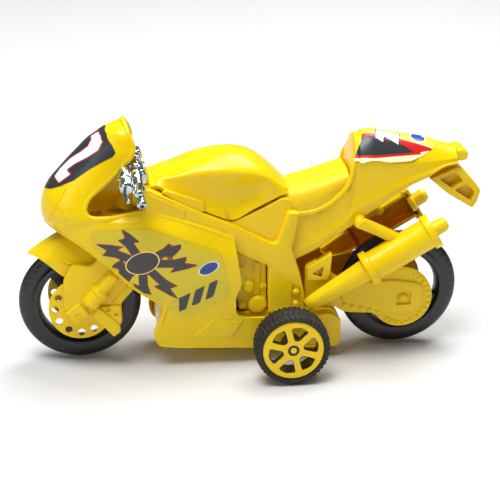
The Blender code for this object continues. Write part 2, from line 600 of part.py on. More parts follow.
def window_outline(angle, inner, outer):
    """A rounded wedge-shaped window between two radii, centred on an angle."""
    spread_in = math.radians(15.0)
    spread_out = math.radians(19.0)
    points = []
    for i in range(4):
        turn = angle - spread_out + 2.0 * spread_out * i / 3.0
        points.append((outer * math.cos(turn), outer * math.sin(turn)))
    for i in range(2):
        turn = angle + spread_in - 2.0 * spread_in * i
        points.append((inner * math.cos(turn), inner * math.sin(turn)))
    return points


def build_fork(steering, side):
    """Fork leg with its caliper and axle block, and the brake disc beside the wheel."""
    origin = (-HEAD_AHEAD, HEAD_HEIGHT)
    name = side_name("fork", side)
    leg = slab(name, relative(FORK, origin), side * 8.4, side * 9.8, YELLOW, steering)
    caliper = slab(name + "_caliper", relative(CALIPER, origin), side * 9.0, side * 11.3, YELLOW,
                   steering)
    (axle_x, axle_z), = relative([FRONT_AXLE], origin)
    turn = math.radians(48.0)
    block = []
    for i in range(4):
        angle = turn + math.radians(45.0 + 90.0 * i)
        block.append((axle_x - 1.2 + 4.0 * math.cos(angle), axle_z - 0.6 + 4.0 * math.sin(angle)))
    foot = slab(name + "_foot", block, side * 9.0, side * 11.0, YELLOW, steering)
    tube = rod(name + "_tube", (axle_x + 4.0, side * 10.4, axle_z + 4.4),
               (axle_x + 16.5, side * 10.4, axle_z + 19.3), 2.0, YELLOW, steering, 12)
    join(leg, caliper, foot, tube)
    cut(leg, cross_rod(name + "_bore", axle_x, axle_z, 0.0, side * 10.1, AXLE_RADIUS + GAP, YELLOW,
                       steering))
    disc = ring(side_name("brake_disc", side), 10.7, AXLE_RADIUS + GAP, 0.5, YELLOW, steering,
                (axle_x, side * 7.5, axle_z), 36)
    for i in range(DISC_HOLES):
        angle = 2.0 * math.pi * i / DISC_HOLES
        hole = cross_rod("disc_hole_%d_%d" % (side, i), axle_x + DISC_HOLE_CIRCLE * math.cos(angle),
                         axle_z + DISC_HOLE_CIRCLE * math.sin(angle), side * 6.0, side * 9.0,
                         DISC_HOLE_RADIUS, YELLOW, steering, 8)
        cut(disc, hole)


def along_stem(distance):
    """A point on the steering axis, measured up from the head."""
    return (distance * math.cos(STEER_LEAN), 0.0, distance * math.sin(STEER_LEAN))


def build_steering(steering):
    """Fork crown with its stem, the handlebar, the fender and the front axle."""
    crown = box("fork_crown", (-9.4, -9.6, -10.7), (-1.2, 9.6, -7.9), YELLOW, steering)
    stem = rod("stem", along_stem(-10.0), along_stem(5.4), STEM_RADIUS, YELLOW, steering)
    join(crown, stem)
    rise = HANDLEBAR_HEIGHT - HEAD_HEIGHT
    bar = rod("handlebar", (1.4, -15.0, rise), (1.4, 15.0, rise), 1.4, CHROME, steering, 16)
    dash = box("dash", (-0.9, -6.4, rise - 1.3), (3.4, 6.4, rise + 1.9), CHROME, steering)
    join(bar, dash)
    for side in (-1, 1):
        grip = rod("grip_%d" % side, (1.4, side * 13.5, rise), (1.4, side * HANDLEBAR_HALF, rise - 1.8),
                   2.0, CHROME, steering, 18)
        can = rod("reservoir_%d" % side, (-1.7, side * 6.8, rise + 0.3), (-1.7, side * 16.5, rise - 0.3),
                  2.1, CHROME, steering, 18)
        clamp = box("clamp_%d" % side, (-2.0, min(side * 5.8, side * 9.4), rise - 1.1),
                    (2.0, max(side * 5.8, side * 9.4), rise + 1.1), CHROME, steering)
        join(bar, grip, can, clamp)
    rows = [[(x + HEAD_AHEAD, y, z - HEAD_HEIGHT) for x, y, z in row]
            for row in section_rows(FENDER_SECTIONS)]
    shell("front_fender", rows, SHELL_WALL * 0.8, YELLOW, steering)
    axle_x = HEAD_AHEAD - FRONT_AXLE_AHEAD
    axle_z = WHEEL_RADIUS - HEAD_HEIGHT
    cross_rod("front_axle", axle_x, axle_z, -9.7, 9.7, AXLE_RADIUS, STEEL, steering)


def build_headstock(body):
    """The bearing block for the steering stem, held between the frame halves."""
    head = Vector((-HEAD_AHEAD, 0.0, HEAD_HEIGHT))
    start = head + Vector(along_stem(-7.0))
    end = head + Vector(along_stem(3.4))
    block = rod("headstock", start, end, 3.9, YELLOW, body, 24)
    wings = box("wings", (-50.0, 0.3 - PLATE_IN, 56.4), (-45.6, PLATE_IN - 0.3, 60.4), YELLOW, body)
    join(block, wings)
    low = head + Vector(along_stem(-14.0))
    high = head + Vector(along_stem(12.0))
    cut(block, rod("stem_bore", low, high, STEM_RADIUS + SPIN_FIT, YELLOW, body, 24))


def build_motor(body, drive, idler, barrel):
    """The wind-up gear train: side plates, pins, gears and the mainspring in its barrel."""
    outline = [(-25.4, 9.4), (-20.0, 8.9), (3.4, 8.2), (4.0, 13.0), (2.0, 24.0), (-6.0, 27.2),
               (-25.4, 27.2)]
    for side in (-1, 1):
        plate = slab(side_name("motor_plate", side), outline, side * 5.8, side * 7.0, STEEL, body)
        cut(plate, cross_rod("plate_axle_hole_%d" % side, *DRIVE_AXLE, side * 4.0, side * 9.0,
                             BORE_RADIUS, STEEL, body))
        for name, (x, z) in (("idler", IDLER), ("barrel", BARREL)):
            cut(plate, cross_rod("plate_%s_hole_%d" % (name, side), x, z, side * 4.0, side * 9.0,
                                 AXLE_RADIUS + 0.2 + GAP, STEEL, body))
    cross_rod("idler_pin", *IDLER, -7.4, 7.4, AXLE_RADIUS, STEEL, body)
    cross_rod("barrel_arbor", *BARREL, -7.4, 7.4, AXLE_RADIUS + 0.2, STEEL, body)
    pinion_turn = IDLER_ANGLE
    pinion = slab("axle_pinion", gear_outline(AXLE_TEETH, GEAR_MODULE, pinion_turn), -4.6,
                  -4.6 + GEAR_WIDTH + 0.6, NYLON, drive)
    cut(pinion, cross_rod("pinion_bore", 0.0, 0.0, -9.0, 9.0, AXLE_RADIUS + 0.3, NYLON, drive, 16))
    mesh_phase = IDLER_ANGLE + math.pi + math.pi / IDLER_TEETH
    big = slab("idler_gear", gear_outline(IDLER_TEETH, GEAR_MODULE, mesh_phase), -4.4,
               -4.4 + GEAR_WIDTH, NYLON, idler)
    small = slab("idler_small", gear_outline(IDLER_PINION_TEETH, GEAR_MODULE, math.pi), -3.0, 2.4,
                 NYLON, idler)
    join(big, small)
    cut(big, cross_rod("idler_bore", 0.0, 0.0, -9.0, 9.0, BORE_RADIUS, NYLON, idler, 16))
    drum = slab("barrel_gear", gear_outline(BARREL_TEETH, GEAR_MODULE, math.pi / BARREL_TEETH), -0.9,
                0.9, NYLON, barrel)
    wall = ring("barrel_wall", 6.4, 5.5, 2.3, NYLON, barrel, (0.0, 2.8, 0.0), 32)
    join(drum, wall)
    cut(drum, cross_rod("barrel_bore", 0.0, 0.0, -9.0, 9.0, AXLE_RADIUS + 0.2 + SPIN_FIT, NYLON,
                        barrel, 16))
    slab("mainspring", spring_outline(), 1.4, 4.6, STEEL, barrel)


def spring_outline():
    """A flat spiral strip, out along one face and back along the other."""
    turns = 4.0
    count = 56
    outer = []
    inner = []
    for i in range(count + 1):
        share = i / count
        angle = share * turns * 2.0 * math.pi
        radius = 1.9 + 3.1 * share
        outer.append(((radius + 0.14) * math.cos(angle), (radius + 0.14) * math.sin(angle)))
        inner.append(((radius - 0.14) * math.cos(angle), (radius - 0.14) * math.sin(angle)))
    return outer + inner[::-1]


def build_toy():
    """Assemble the toy on its empties."""
    body = empty("chassis", CENTRE_SHIFT, 0.0)
    steering = empty("steering_axis", -HEAD_AHEAD, HEAD_HEIGHT, body)
    front = empty("front_wheel_axis", HEAD_AHEAD - FRONT_AXLE_AHEAD, WHEEL_RADIUS - HEAD_HEIGHT, steering)
    rear = empty("rear_wheel_axis", *REAR_AXLE, body)
    drive = empty("drive_axis", *DRIVE_AXLE, body)
    idler = empty("idler_axis", *IDLER, body)
    barrel = empty("barrel_axis", *BARREL, body)
    build_shells(body)
    for side in (-1, 1):
        build_frame(body, side)
        build_engine(body, side)
        build_swingarm(body, side)
        build_exhaust(body, side)
        build_fork(steering, side)
        build_drive_wheel(drive, side)
    build_screws(body)
    build_mudguard(body)
    build_headstock(body)
    build_steering(steering)
    build_motor(body, drive, idler, barrel)
    build_wheel("front", front, 10.0)
    build_wheel("rear", rear, 100.0)
    cross_rod("rear_axle", *REAR_AXLE, -9.7, 9.7, AXLE_RADIUS, STEEL, body)
    axle_half = DRIVE_TRACK_OUT - 2.6
    cross_rod("drive_axle", 0.0, 0.0, -axle_half, axle_half, AXLE_RADIUS, STEEL, drive)


build_toy()
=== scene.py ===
"""Looks of the pull-back motorcycle toy: moulded shells, wheels, plating, stickers and studio."""

import math

import bmesh
import bpy
import numpy as np
from mathutils import Matrix, Vector


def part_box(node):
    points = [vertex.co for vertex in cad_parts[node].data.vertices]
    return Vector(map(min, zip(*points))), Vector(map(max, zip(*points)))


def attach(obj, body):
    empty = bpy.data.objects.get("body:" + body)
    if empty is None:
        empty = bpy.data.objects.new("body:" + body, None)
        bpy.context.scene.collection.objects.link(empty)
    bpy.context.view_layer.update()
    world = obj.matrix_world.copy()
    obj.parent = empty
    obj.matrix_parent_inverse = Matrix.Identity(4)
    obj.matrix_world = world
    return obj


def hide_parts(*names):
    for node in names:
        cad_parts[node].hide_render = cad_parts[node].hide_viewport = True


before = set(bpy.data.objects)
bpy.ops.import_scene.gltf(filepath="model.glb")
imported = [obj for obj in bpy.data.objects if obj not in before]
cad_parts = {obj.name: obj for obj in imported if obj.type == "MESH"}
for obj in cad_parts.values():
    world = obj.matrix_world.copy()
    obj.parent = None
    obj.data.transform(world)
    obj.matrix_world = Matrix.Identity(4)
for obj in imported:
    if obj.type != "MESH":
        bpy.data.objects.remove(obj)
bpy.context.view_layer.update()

MM = 0.001
SEAM = 2e-6         # points this close, in metres, are one
CRISP = 0.05        # the edge roll of a cutting tool
FAIRING_WALL, SHELL_WALL, TAIL_WALL, THIN_WALL = 1.2, 1.6, 1.4, 1.1      # moulded walls
FILM_LIFT = 0.14    # how far a sticker stands off the plastic


def middle_and_half(node):
    """A part's middle and half size in millimetres, from its box in the frame."""
    low, high = (1000 * np.array(corner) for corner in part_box(node))
    return 0.5 * (low + high), 0.5 * (high - low)


# Lengths are millimetres, with x from the drive axle, y across and z up.
(SHIFT, _, DRIVE_Z), _ = middle_and_half("drive_axle")
(FRONT_X, _, FRONT_Z), (_, TYRE_HALF, WHEEL_RADIUS) = middle_and_half("front_tyre")
(REAR_X, _, REAR_Z), _ = middle_and_half("rear_tyre")
(_, DRIVE_MIDDLE, _), (_, DRIVE_HALF, DRIVE_RADIUS) = middle_and_half("drive_tyre_left")
FRONT_X, REAR_X = FRONT_X - SHIFT, REAR_X - SHIFT
DRIVE_OUT, DRIVE_WIDTH = DRIVE_HALF - DRIVE_MIDDLE, 2 * DRIVE_HALF

# ---------------------------------------------------------------- numpy surfaces


def to_frame(points):
    """Millimetres about the drive axle, turned to metres in the frame."""
    return (np.asarray(points, float).reshape(-1, 3) + (SHIFT, 0, 0)) * MM


def clean(mesh):
    """Close seams and poles and turn every face outward."""
    work = bmesh.new()
    work.from_mesh(mesh)
    bmesh.ops.remove_doubles(work, verts=work.verts, dist=SEAM)
    bmesh.ops.recalc_face_normals(work, faces=work.faces)
    work.to_mesh(mesh)
    work.free()


def make_piece(name, points, faces, material=None, body="body", sharp=40):
    """An object from points in millimetres and faces, smooth below the sharp angle. Pieces are of
    yellow plastic on the toy's body unless they say otherwise."""
    material = material or YELLOW
    mesh = bpy.data.meshes.new(name)
    mesh.from_pydata(to_frame(points).tolist(), [], faces)
    clean(mesh)
    mesh.materials.append(material)
    mesh.shade_smooth()
    mesh.set_sharp_from_angle(angle=math.radians(sharp))
    obj = bpy.data.objects.new(name, mesh)
    bpy.context.scene.collection.objects.link(obj)
    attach(obj, body)
    return obj


def grid_faces(rows, columns, wrap_rows=False, wrap_columns=False, start=0):
    """Quads of a rows by columns grid, closed round either way on request."""
    r = np.arange(rows if wrap_rows else rows - 1)
    c = np.arange(columns if wrap_columns else columns - 1)
    r, c = (a.ravel() for a in np.meshgrid(r, c, indexing="ij"))
    nr = (r + 1) % rows
    nc = (c + 1) % columns
    quads = np.stack([r * columns + c, r * columns + nc, nr * columns + nc, nr * columns + c], axis=1)
    return (quads + start).tolist()


def spline(knots, values, at):
    """Cubic Hermite curve through values at knots, each slope the weighted mean of its two sides."""
    knots = np.asarray(knots, float)
    values = np.asarray(values, float)
    flat = values.reshape(len(knots), -1)
    step = np.diff(knots)[:, None]
    slope = np.diff(flat, axis=0) / step
    tangent = np.empty_like(flat)
    tangent[1:-1] = (slope[:-1] * step[1:] + slope[1:] * step[:-1]) / (step[1:] + step[:-1])
    tangent[0], tangent[-1] = slope[0], slope[-1]
    i = np.clip(np.searchsorted(knots, at, side="right") - 1, 0, len(knots) - 2)
    h = step[i]
    t = ((at - knots[i])[:, None]) / h
    near = (1 + 2 * t) * (1 - t) ** 2 * flat[i] + t * (1 - t) ** 2 * h * tangent[i]
    far = t * t * (3 - 2 * t) * flat[i + 1] + t * t * (t - 1) * h * tangent[i + 1]
    return (near + far).reshape((len(at),) + values.shape[1:])


def chord(points):
    """Distance run along a row of points."""
    return np.concatenate([[0], np.cumsum(np.linalg.norm(np.diff(points, axis=0), axis=1))])


def normals_of(grid):
    """Unit normals of a grid surface, from the cross product of its two directions."""
    along = np.gradient(grid, axis=0)
    across = np.gradient(grid, axis=1)
    normal = np.cross(along, across)
    size = np.linalg.norm(normal, axis=2, keepdims=True)
    return normal / np.maximum(size, 1e-9)


def unit(vectors):
    """Vectors scaled to length one."""
    return vectors / np.maximum(np.linalg.norm(vectors, axis=-1, keepdims=True), 1e-9)


def rounded(outline, radius, steps=6):
    """A closed outline whose corners are quadratic curves starting radius away from each corner."""
    corner = np.asarray(outline, float)
    back = np.roll(corner, 1, axis=0) - corner
    on = np.roll(corner, -1, axis=0) - corner
    back_len = np.linalg.norm(back, axis=1, keepdims=True)
    on_len = np.linalg.norm(on, axis=1, keepdims=True)
    start = corner + back / back_len * np.minimum(radius, 0.46 * back_len)
    end = corner + on / on_len * np.minimum(radius, 0.46 * on_len)
    t = np.linspace(0, 1, steps)[None, :, None]
    curve = (1 - t) ** 2 * start[:, None] + 2 * t * (1 - t) * corner[:, None] + t * t * end[:, None]
    return curve.reshape(-1, 2)


def shrink(loop, amount):
    """A loop of (x, z) points moved inward along its own normals, each by no more than most of the
    loop's own radius of curvature there, so that a tight corner doesn't fold over."""
    ahead = np.roll(loop, -1, axis=0) - loop
    behind = loop - np.roll(loop, 1, axis=0)
    direction = unit(unit(ahead) + unit(behind))
    area = np.sign(np.sum(loop[:, 0] * np.roll(loop[:, 1], -1) - np.roll(loop[:, 0], -1) * loop[:, 1]))
    bend = area * (unit(behind)[:, 0] * unit(ahead)[:, 1] - unit(behind)[:, 1] * unit(ahead)[:, 0])
    step = 0.5 * (np.linalg.norm(ahead, axis=1) + np.linalg.norm(behind, axis=1))
    room = np.where(bend > 1e-4, 0.8 * step / np.maximum(bend, 1e-4), 50)
    room = np.min([np.roll(room, k) for k in range(-3, 4)], axis=0)
    inward = np.stack([-direction[:, 1], direction[:, 0]], axis=1) * area
    return loop + inward * np.minimum(amount, room)[:, None]


def plate(name, outline, y_in, y_out, material=None, body="body", edge=0.5, corner=1.2, back_edge=0):
    """A moulded plate: an outline carried from y_in to y_out with its outer edge, and on request its
    inner one, rolled over a quarter circle."""
    loop = rounded(outline, corner)
    sign = 1 if y_out > y_in else -1
    rings = []
    for turn in np.linspace(0, math.pi / 2, 4) if back_edge else []:
        rings.append((back_edge * (1 - math.sin(turn)), y_in + sign * back_edge * (1 - math.cos(turn))))
    if not back_edge:
        rings.append((0, y_in))
    for turn in np.linspace(0, math.pi / 2, 5):
        rings.append((edge * (1 - math.cos(turn)), y_out - sign * edge * (1 - math.sin(turn))))
    layers = []
    for inset, y in rings:
        ring = shrink(loop, inset)
        layers.append(np.stack([ring[:, 0], np.full(len(ring), y), ring[:, 1]], axis=1))
    points = np.concatenate(layers)
    count = len(loop)
    faces = grid_faces(len(rings), count, wrap_columns=True)
    faces.append(list(range(count))[::-1])
    last = (len(rings) - 1) * count
    faces.append(list(range(last, last + count)))
    return make_piece(name, points, faces, material, body)


def amber_inside(name, side):
    """Paint shade on a side plate: its faces that look at the centre plane take the deeper amber copy of
    the yellow.
    """
    piece = bpy.data.objects[name]
    mesh = piece.data
    mesh.materials.append(SHADED_INNER)
    normals = np.empty(len(mesh.polygons) * 3)
    mesh.polygons.foreach_get("normal", normals)
    inner = (normals.reshape(-1, 3)[:, 1] * side < -0.7).astype(np.int32)
    mesh.polygons.foreach_set("material_index", inner)


def turned(name, profile, centre, material=None, body="body", axis=(0, 1, 0), closed=False, steps=96,
        sweep=None, sharp=35):
    """A profile of (radius, distance along the axis) spun about an axis through centre."""
    axis = unit(np.asarray(axis, float))
    side = unit(np.cross(axis, (0, 0, 1) if abs(axis[2]) < 0.9 else (1, 0, 0)))
    other = np.cross(axis, side)
    if sweep is None:
        turn = np.linspace(0, 2 * math.pi, steps, endpoint=False)
    else:
        turn = np.linspace(sweep[0], sweep[1], steps)
    radius, reach = np.asarray(profile, float).T
    round_part = np.cos(turn)[:, None] * side + np.sin(turn)[:, None] * other
    points = (np.asarray(centre, float) + reach[None, :, None] * axis + radius[None, :,
        None] * round_part[:, None, :])
    faces = grid_faces(len(turn), len(radius), wrap_rows=sweep is None, wrap_columns=closed)
    return make_piece(name, points, faces, material, body, sharp)


def fillet(profile, radius, steps=5):
    """A turned profile whose inner corners are rounded by quadratic curves."""
    corner = np.asarray(profile, float)
    middle = corner[1:-1]
    back = corner[:-2] - middle
    on = corner[2:] - middle
    back_len = np.linalg.norm(back, axis=1, keepdims=True)
    on_len = np.linalg.norm(on, axis=1, keepdims=True)
    start = middle + back / back_len * np.minimum(radius, 0.45 * back_len)
    end = middle + on / on_len * np.minimum(radius, 0.45 * on_len)
    t = np.linspace(0, 1, steps)[None, :, None]
    curve = (1 - t) ** 2 * start[:, None] + 2 * t * (1 - t) * middle[:, None] + t * t * end[:, None]
    return np.concatenate([corner[:1], curve.reshape(-1, 2), corner[-1:]])


def button(name, x, z, y_in, y_out, radius, material=None, body="body", steps=40, edge=0.4):
    """A round boss lying across the toy, with a rolled outer edge."""
    length = y_out - y_in
    roll = math.copysign(min(edge, radius * 0.8), length)
    profile = [(0, 0), (radius, 0), (radius, length - roll)]
    turn = np.linspace(0, math.pi / 2, 5)
    for angle in turn[1:]:
        profile.append((radius - abs(roll) * (1 - math.cos(angle)), length - roll * (1 - math.sin(angle))))
    profile.append((0, length))
    return turned(name, profile, (x, y_in, z), material, body, steps=steps)


def tube(name, path, radius, material=None, body="body", sides=20, samples=60):
    """A round bar swept along a smooth path through its points, closed by domed ends."""
    path = np.asarray(path, float)
    run = chord(path)
    line = spline(run, path, np.linspace(0, run[-1], samples))
    ahead = unit(np.gradient(line, axis=0))
    side = unit(np.cross(ahead, (0, 0, 1)) + 1e-6)
    top = np.cross(side, ahead)
    cap = np.sin(np.linspace(0, math.pi / 2, 5))
    lead = np.cos(np.linspace(0, math.pi / 2, 5))
    radii = np.concatenate([cap * radius, np.full(samples - 2, radius), cap[::-1] * radius])
    centres = np.concatenate([line[:1] - lead[:, None] * radius * 0.6 * ahead[:1], line[1:-1],
        line[-1:] + lead[::-1, None] * radius * 0.6 * ahead[-1:]])
    side = np.concatenate([np.repeat(side[:1], 5, 0), side[1:-1], np.repeat(side[-1:], 5, 0)])
    top = np.concatenate([np.repeat(top[:1], 5, 0), top[1:-1], np.repeat(top[-1:], 5, 0)])
    turn = np.linspace(0, 2 * math.pi, sides, endpoint=False)
    points = (centres[:, None] + radii[:, None, None] * (np.cos(turn)[None, :, None] * side[:,
        None] + np.sin(turn)[None, :, None] * top[:, None]))
    return make_piece(name, points, grid_faces(len(centres), sides, wrap_columns=True), material, body)


def thicken(obj, wall):
    """Give an open surface an inner wall, on the side away from its faces, with painted shade on the
    inside: its inner faces take a deeper amber copy of the yellow.
    """
    obj.data.materials.append(SHADED_INNER)
    solid = obj.modifiers.new("wall", "SOLIDIFY")
    solid.thickness = wall * MM
    solid.offset = -1
    # the inner wall takes the second slot, the painted shade
    solid.material_offset = 1
    return obj


def settle(obj):
    """Apply every modifier of a piece to its mesh."""
    bpy.context.view_layer.update()
    ready = obj.evaluated_get(bpy.context.evaluated_depsgraph_get())
    mesh = bpy.data.meshes.new_from_object(ready)
    obj.modifiers.clear()
    obj.data = mesh
    return obj


def cut_away(obj, *tools):
    """Cut each tool out of a piece, apply the cuts and remove the tools."""
    for tool in tools:
        cut = obj.modifiers.new("cut", "BOOLEAN")
        cut.operation = "DIFFERENCE"
        cut.object = tool
    settle(obj)
    for tool in tools:
        bpy.data.objects.remove(tool, do_unlink=True)
    obj.data.set_sharp_from_angle(angle=math.radians(40))
    return obj


def outward(obj, centre):
    """Turn an open surface's faces away from a point inside it."""
    mesh = obj.data
    count = len(mesh.polygons)
    centres = np.empty(count * 3)
    normals = np.empty(count * 3)
    mesh.polygons.foreach_get("center", centres)
    mesh.polygons.foreach_get("normal", normals)
    away = centres.reshape(-1, 3) - to_frame(centre)
    if np.sum(away * normals.reshape(-1, 3)) < 0:
        mesh.flip_normals()
    return obj


def both_halves(half):
    """A left half section grid mirrored across the centre plane into one grid."""
    right = half[:, ::-1].copy()
    right[..., 1] *= -1
    return np.concatenate([right, half[:, 1:]], axis=1)


# ---------------------------------------------------------------- materials


def linear(hex_colour):
    """An sRGB hex colour as linear red, green, blue and alpha."""
    value = np.array([int(hex_colour[i:i + 2], 16) for i in (0, 2, 4)]) / 255
    value = np.where(value <= 0.04045, value / 12.92, ((value + 0.055) / 1.055) ** 2.4)
    return (*value.tolist(), 1)


def add(tree, kind, inputs=None, **settings):
    """Add a node: settings are its attributes, inputs are values or (node, output) links."""
    node = tree.nodes.new(kind)
    for name, value in settings.items():
        setattr(node, name, value)
    for socket, value in (inputs or {}).items():
        if isinstance(value, tuple) and isinstance(value[0], bpy.types.Node):
            tree.links.new(value[0].outputs[value[1]], node.inputs[socket])
        else:
            node.inputs[socket].default_value = value
    return node


def finish_of(name, slot, base, shade, patch_mm, rough, spread, grain_mm, relief_mm, **fixed):
    """A finish: colour drifts from base to shade over patches of patch_mm, roughness varies by
    spread around rough, and the skin carries relief_mm of grain grain_mm across."""
    material = bpy.data.materials.new(name)
    material.use_nodes = True
    tree = material.node_tree
    tree.nodes.clear()
    place = add(tree, "ShaderNodeTexCoord")
    patch = add(tree, "ShaderNodeTexNoise", {"Vector": (place, "Object"), "Scale": 1 / (patch_mm * MM),
        "Detail": 4})
    drift = add(tree, "ShaderNodeMapRange", {"Value": (patch, 0), "From Min": 0.35, "From Max": 0.7})
    tint = add(tree, "ShaderNodeMix", {6: linear(base), 7: linear(shade), 0: (drift, 0)}, data_type="RGBA")
    grain = add(tree, "ShaderNodeTexNoise", {"Vector": (place, "Object"), "Scale": 1 / (grain_mm * MM),
        "Detail": 3})
    gloss = add(tree, "ShaderNodeMapRange", {"Value": (grain, 0), "From Min": 0.3, "From Max": 0.7,
        "To Min": rough - spread, "To Max": rough + spread})
    relief = add(tree, "ShaderNodeBump", {"Height": (grain, 0), "Distance": relief_mm * MM, "Strength": 1})
    shader = add(tree, "ShaderNodeBsdfPrincipled", {"Base Color": (tint, 2), "Roughness": (gloss, 0),
        "Normal": (relief, 0), **fixed})
    add(tree, "ShaderNodeOutputMaterial", {"Surface": (shader, 0)})
    return material


# Injection-moulded ABS: saturated, glossy, with faint flow marks and a trace of mould texture.
YELLOW = finish_of("moulded_yellow_abs", "yellow_plastic", "F6D30A", "F0C804", 22, 0.24, 0.05, 1.4, 0.012,
    **{"IOR": 1.53, "Specular IOR Level": 0.28})
# The same plastic spark-eroded on the seat pad: a fine leather-like grain that kills the gloss.
GRAINED = finish_of("grained_yellow_abs", "yellow_plastic", "F8D714", "EFC808", 14, 0.45, 0.08, 0.8, 0.22,
    **{"IOR": 1.53, "Specular IOR Level": 0.3})
# Painted shade: a deeper amber copy of the same plastic for inner faces, standing in for the shade and
# bounced light inside the shells.
SHADED_INNER = finish_of("inner_painted_shade_abs", "yellow_plastic", "F7B512", "EFA60C", 16, 0.42, 0.06, 1.4, 0.02,
    **{"IOR": 1.53, "Specular IOR Level": 0.2})
# Black polystyrene run in a satin mould: soft sheen, slightly grey, scuffed in patches.
BLACK = finish_of("moulded_black_plastic", "black_plastic", "131518", "1B1D21", 9, 0.36, 0.08, 0.7, 0.02,
    **{"IOR": 1.55})
# Soft moulded rubber: matt, dusty, faintly pitted.
RUBBER = finish_of("moulded_black_rubber", "rubber", "0D0E0F", "191A1C", 5, 0.62, 0.1, 0.5, 0.05,
    **{"IOR": 1.52})
# Vacuum-plated plastic: mirror bright, wavy where the plastic beneath sank, cloudy in places.
CHROME = finish_of("vacuum_plated_plastic", "plated_plastic", "D9E2E2", "8FA2A6", 3.2, 0.12, 0.06, 1.6,
    0.09, **{"Metallic": 1})
# Drawn steel wire and pressed spring steel, lightly oiled.
STEEL = finish_of("drawn_steel", "steel", "A7A8A8", "7C7D7F", 4, 0.32, 0.08, 0.4, 0.01, **{"Metallic": 1})
# White nylon gears: waxy and slightly translucent.
NYLON = finish_of("moulded_nylon", "nylon", "EFEBDD", "DDD6C2", 6, 0.4, 0.06, 0.6, 0.01,
    **{"IOR": 1.53, "Subsurface Weight": 0.15, "Subsurface Scale": 0.001})
# Matt grey plastic of the clockwork's own case.
CASE = finish_of("moulded_grey_plastic", "black_plastic", "3A3C3E", "2E3032", 7, 0.5, 0.08, 0.7, 0.02,
    **{"IOR": 1.5})


def printed_film(name, ground, shade, inks):
    """Gloss sticker film: each ink covers the ground where its signed-distance attribute is above
    zero, with a fade a twentieth of a millimetre wide, in the order given."""
    material = bpy.data.materials.new(name)
    material.use_nodes = True
    tree = material.node_tree
    tree.nodes.clear()
    place = add(tree, "ShaderNodeTexCoord")
    patch = add(tree, "ShaderNodeTexNoise", {"Vector": (place, "Object"), "Scale": 90, "Detail": 5})
    colour = add(tree, "ShaderNodeMix", {6: linear(ground), 7: linear(shade), 0: (patch, 0)},
        data_type="RGBA")
    for ink, hex_colour in inks:
        reach = add(tree, "ShaderNodeAttribute", attribute_name=ink)
        cover = add(tree, "ShaderNodeMapRange", {"Value": (reach, "Fac"), "From Min": -0.025,
            "From Max": 0.025})
        colour = add(tree, "ShaderNodeMix", {6: (colour, 2), 7: linear(hex_colour), 0: (cover, 0)},
            data_type="RGBA")
    ripple = add(tree, "ShaderNodeTexNoise", {"Vector": (place, "Object"), "Scale": 240})
    relief = add(tree, "ShaderNodeBump", {"Height": (ripple, 0), "Distance": 0.00003})
    wear = add(tree, "ShaderNodeMapRange", {"Value": (patch, 0), "From Min": 0.3, "From Max": 0.8,
        "To Min": 0.22, "To Max": 0.4})
    shader = add(tree, "ShaderNodeBsdfPrincipled", {"Base Color": (colour, 2), "Roughness": (wear, 0),
        "Normal": (relief, 0), "IOR": 1.5})
    add(tree, "ShaderNodeOutputMaterial", {"Surface": (shader, 0)})
    return material


# Printed vinyl: lime-yellow, screen and tail grounds, with flat gloss inks.
PANEL_FILM = printed_film("printed_vinyl_panel", "E2CB08", "D6BF0C", [("edge", "8E1F12"),
    ("bolt", "34383A"), ("ring", "F6E08A"), ("dot", "3A3636"), ("bars", "343A3A"), ("oval_rim", "E9EEF2"),
    ("oval", "1C3F94")])
SCREEN_FILM = printed_film("printed_vinyl_screen", "34393D", "2C3134", [("edge", "A01E22"),
    ("band", "E4EEF1")])
TAIL_FILM = printed_film("printed_vinyl_tail", "F6EC3C", "EDE03A", [("cream", "F8EDB4"),
    ("flash", "CF1F1C"), ("dark", "34373A"), ("block_edge", "2C2E30"), ("block", "F4F6F6"),
    ("oval_rim", "EDEFE8"), ("oval", "1D48A0")])

# ---------------------------------------------------------------- camera and studio

VIEW_TILT = math.radians(22)
VIEW_TURN = math.radians(8.13)
VIEW_ROLL = 0.012
VIEW_DISTANCE = 0.5248
LOOK_AT = np.array([0.000269, 0, 0.035858])
ahead = np.array([math.sin(VIEW_TURN) * math.cos(VIEW_TILT), math.cos(VIEW_TURN) * math.cos(VIEW_TILT),
    -math.sin(VIEW_TILT)])
across = np.array([math.cos(VIEW_TURN), -math.sin(VIEW_TURN), 0])
upward = np.cross(across, ahead)
right = math.cos(VIEW_ROLL) * across + math.sin(VIEW_ROLL) * upward
top = -math.sin(VIEW_ROLL) * across + math.cos(VIEW_ROLL) * upward
turn = Matrix(np.stack([right, top, -ahead], axis=1).tolist())
lens = bpy.data.cameras.new("camera")
lens.sensor_width = 36
lens.lens = 111.87
camera = bpy.data.objects.new("camera", lens)
camera.matrix_world = Matrix.Translation(Vector(LOOK_AT - VIEW_DISTANCE * ahead)) @ turn.to_4x4()
bpy.context.scene.collection.objects.link(camera)
bpy.context.scene.camera = camera

paper = bpy.data.materials.new("matt_white_card")
paper.use_nodes = True
tree = paper.node_tree
place = add(tree, "ShaderNodeTexCoord")
fibre = add(tree, "ShaderNodeTexNoise", {"Vector": (place, "Object"), "Scale": 400})
tone = add(tree, "ShaderNodeMix", {6: linear("D9D9D9"), 7: linear("DEDEDE"), 0: (fibre, 0)},
    data_type="RGBA")
card = tree.nodes["Principled BSDF"]
tree.links.new(tone.outputs[2], card.inputs["Base Color"])
card.inputs["Roughness"].default_value = 0.9
card.inputs["Specular IOR Level"].default_value = 0.1
FLOOR_HALF, FLOOR_DROP = 3, 0.0004      # the card's half size, and its gap under the tyres, metres
span = np.array([[-1, -1], [1, -1], [1, 1], [-1, 1]]) * FLOOR_HALF
span = np.column_stack([span, np.full(4, -FLOOR_DROP)])
mesh = bpy.data.meshes.new("floor")
mesh.from_pydata(span.tolist(), [], [[0, 1, 2, 3]])
mesh.materials.append(paper)
floor = bpy.data.objects.new("floor", mesh)
bpy.context.scene.collection.objects.link(floor)

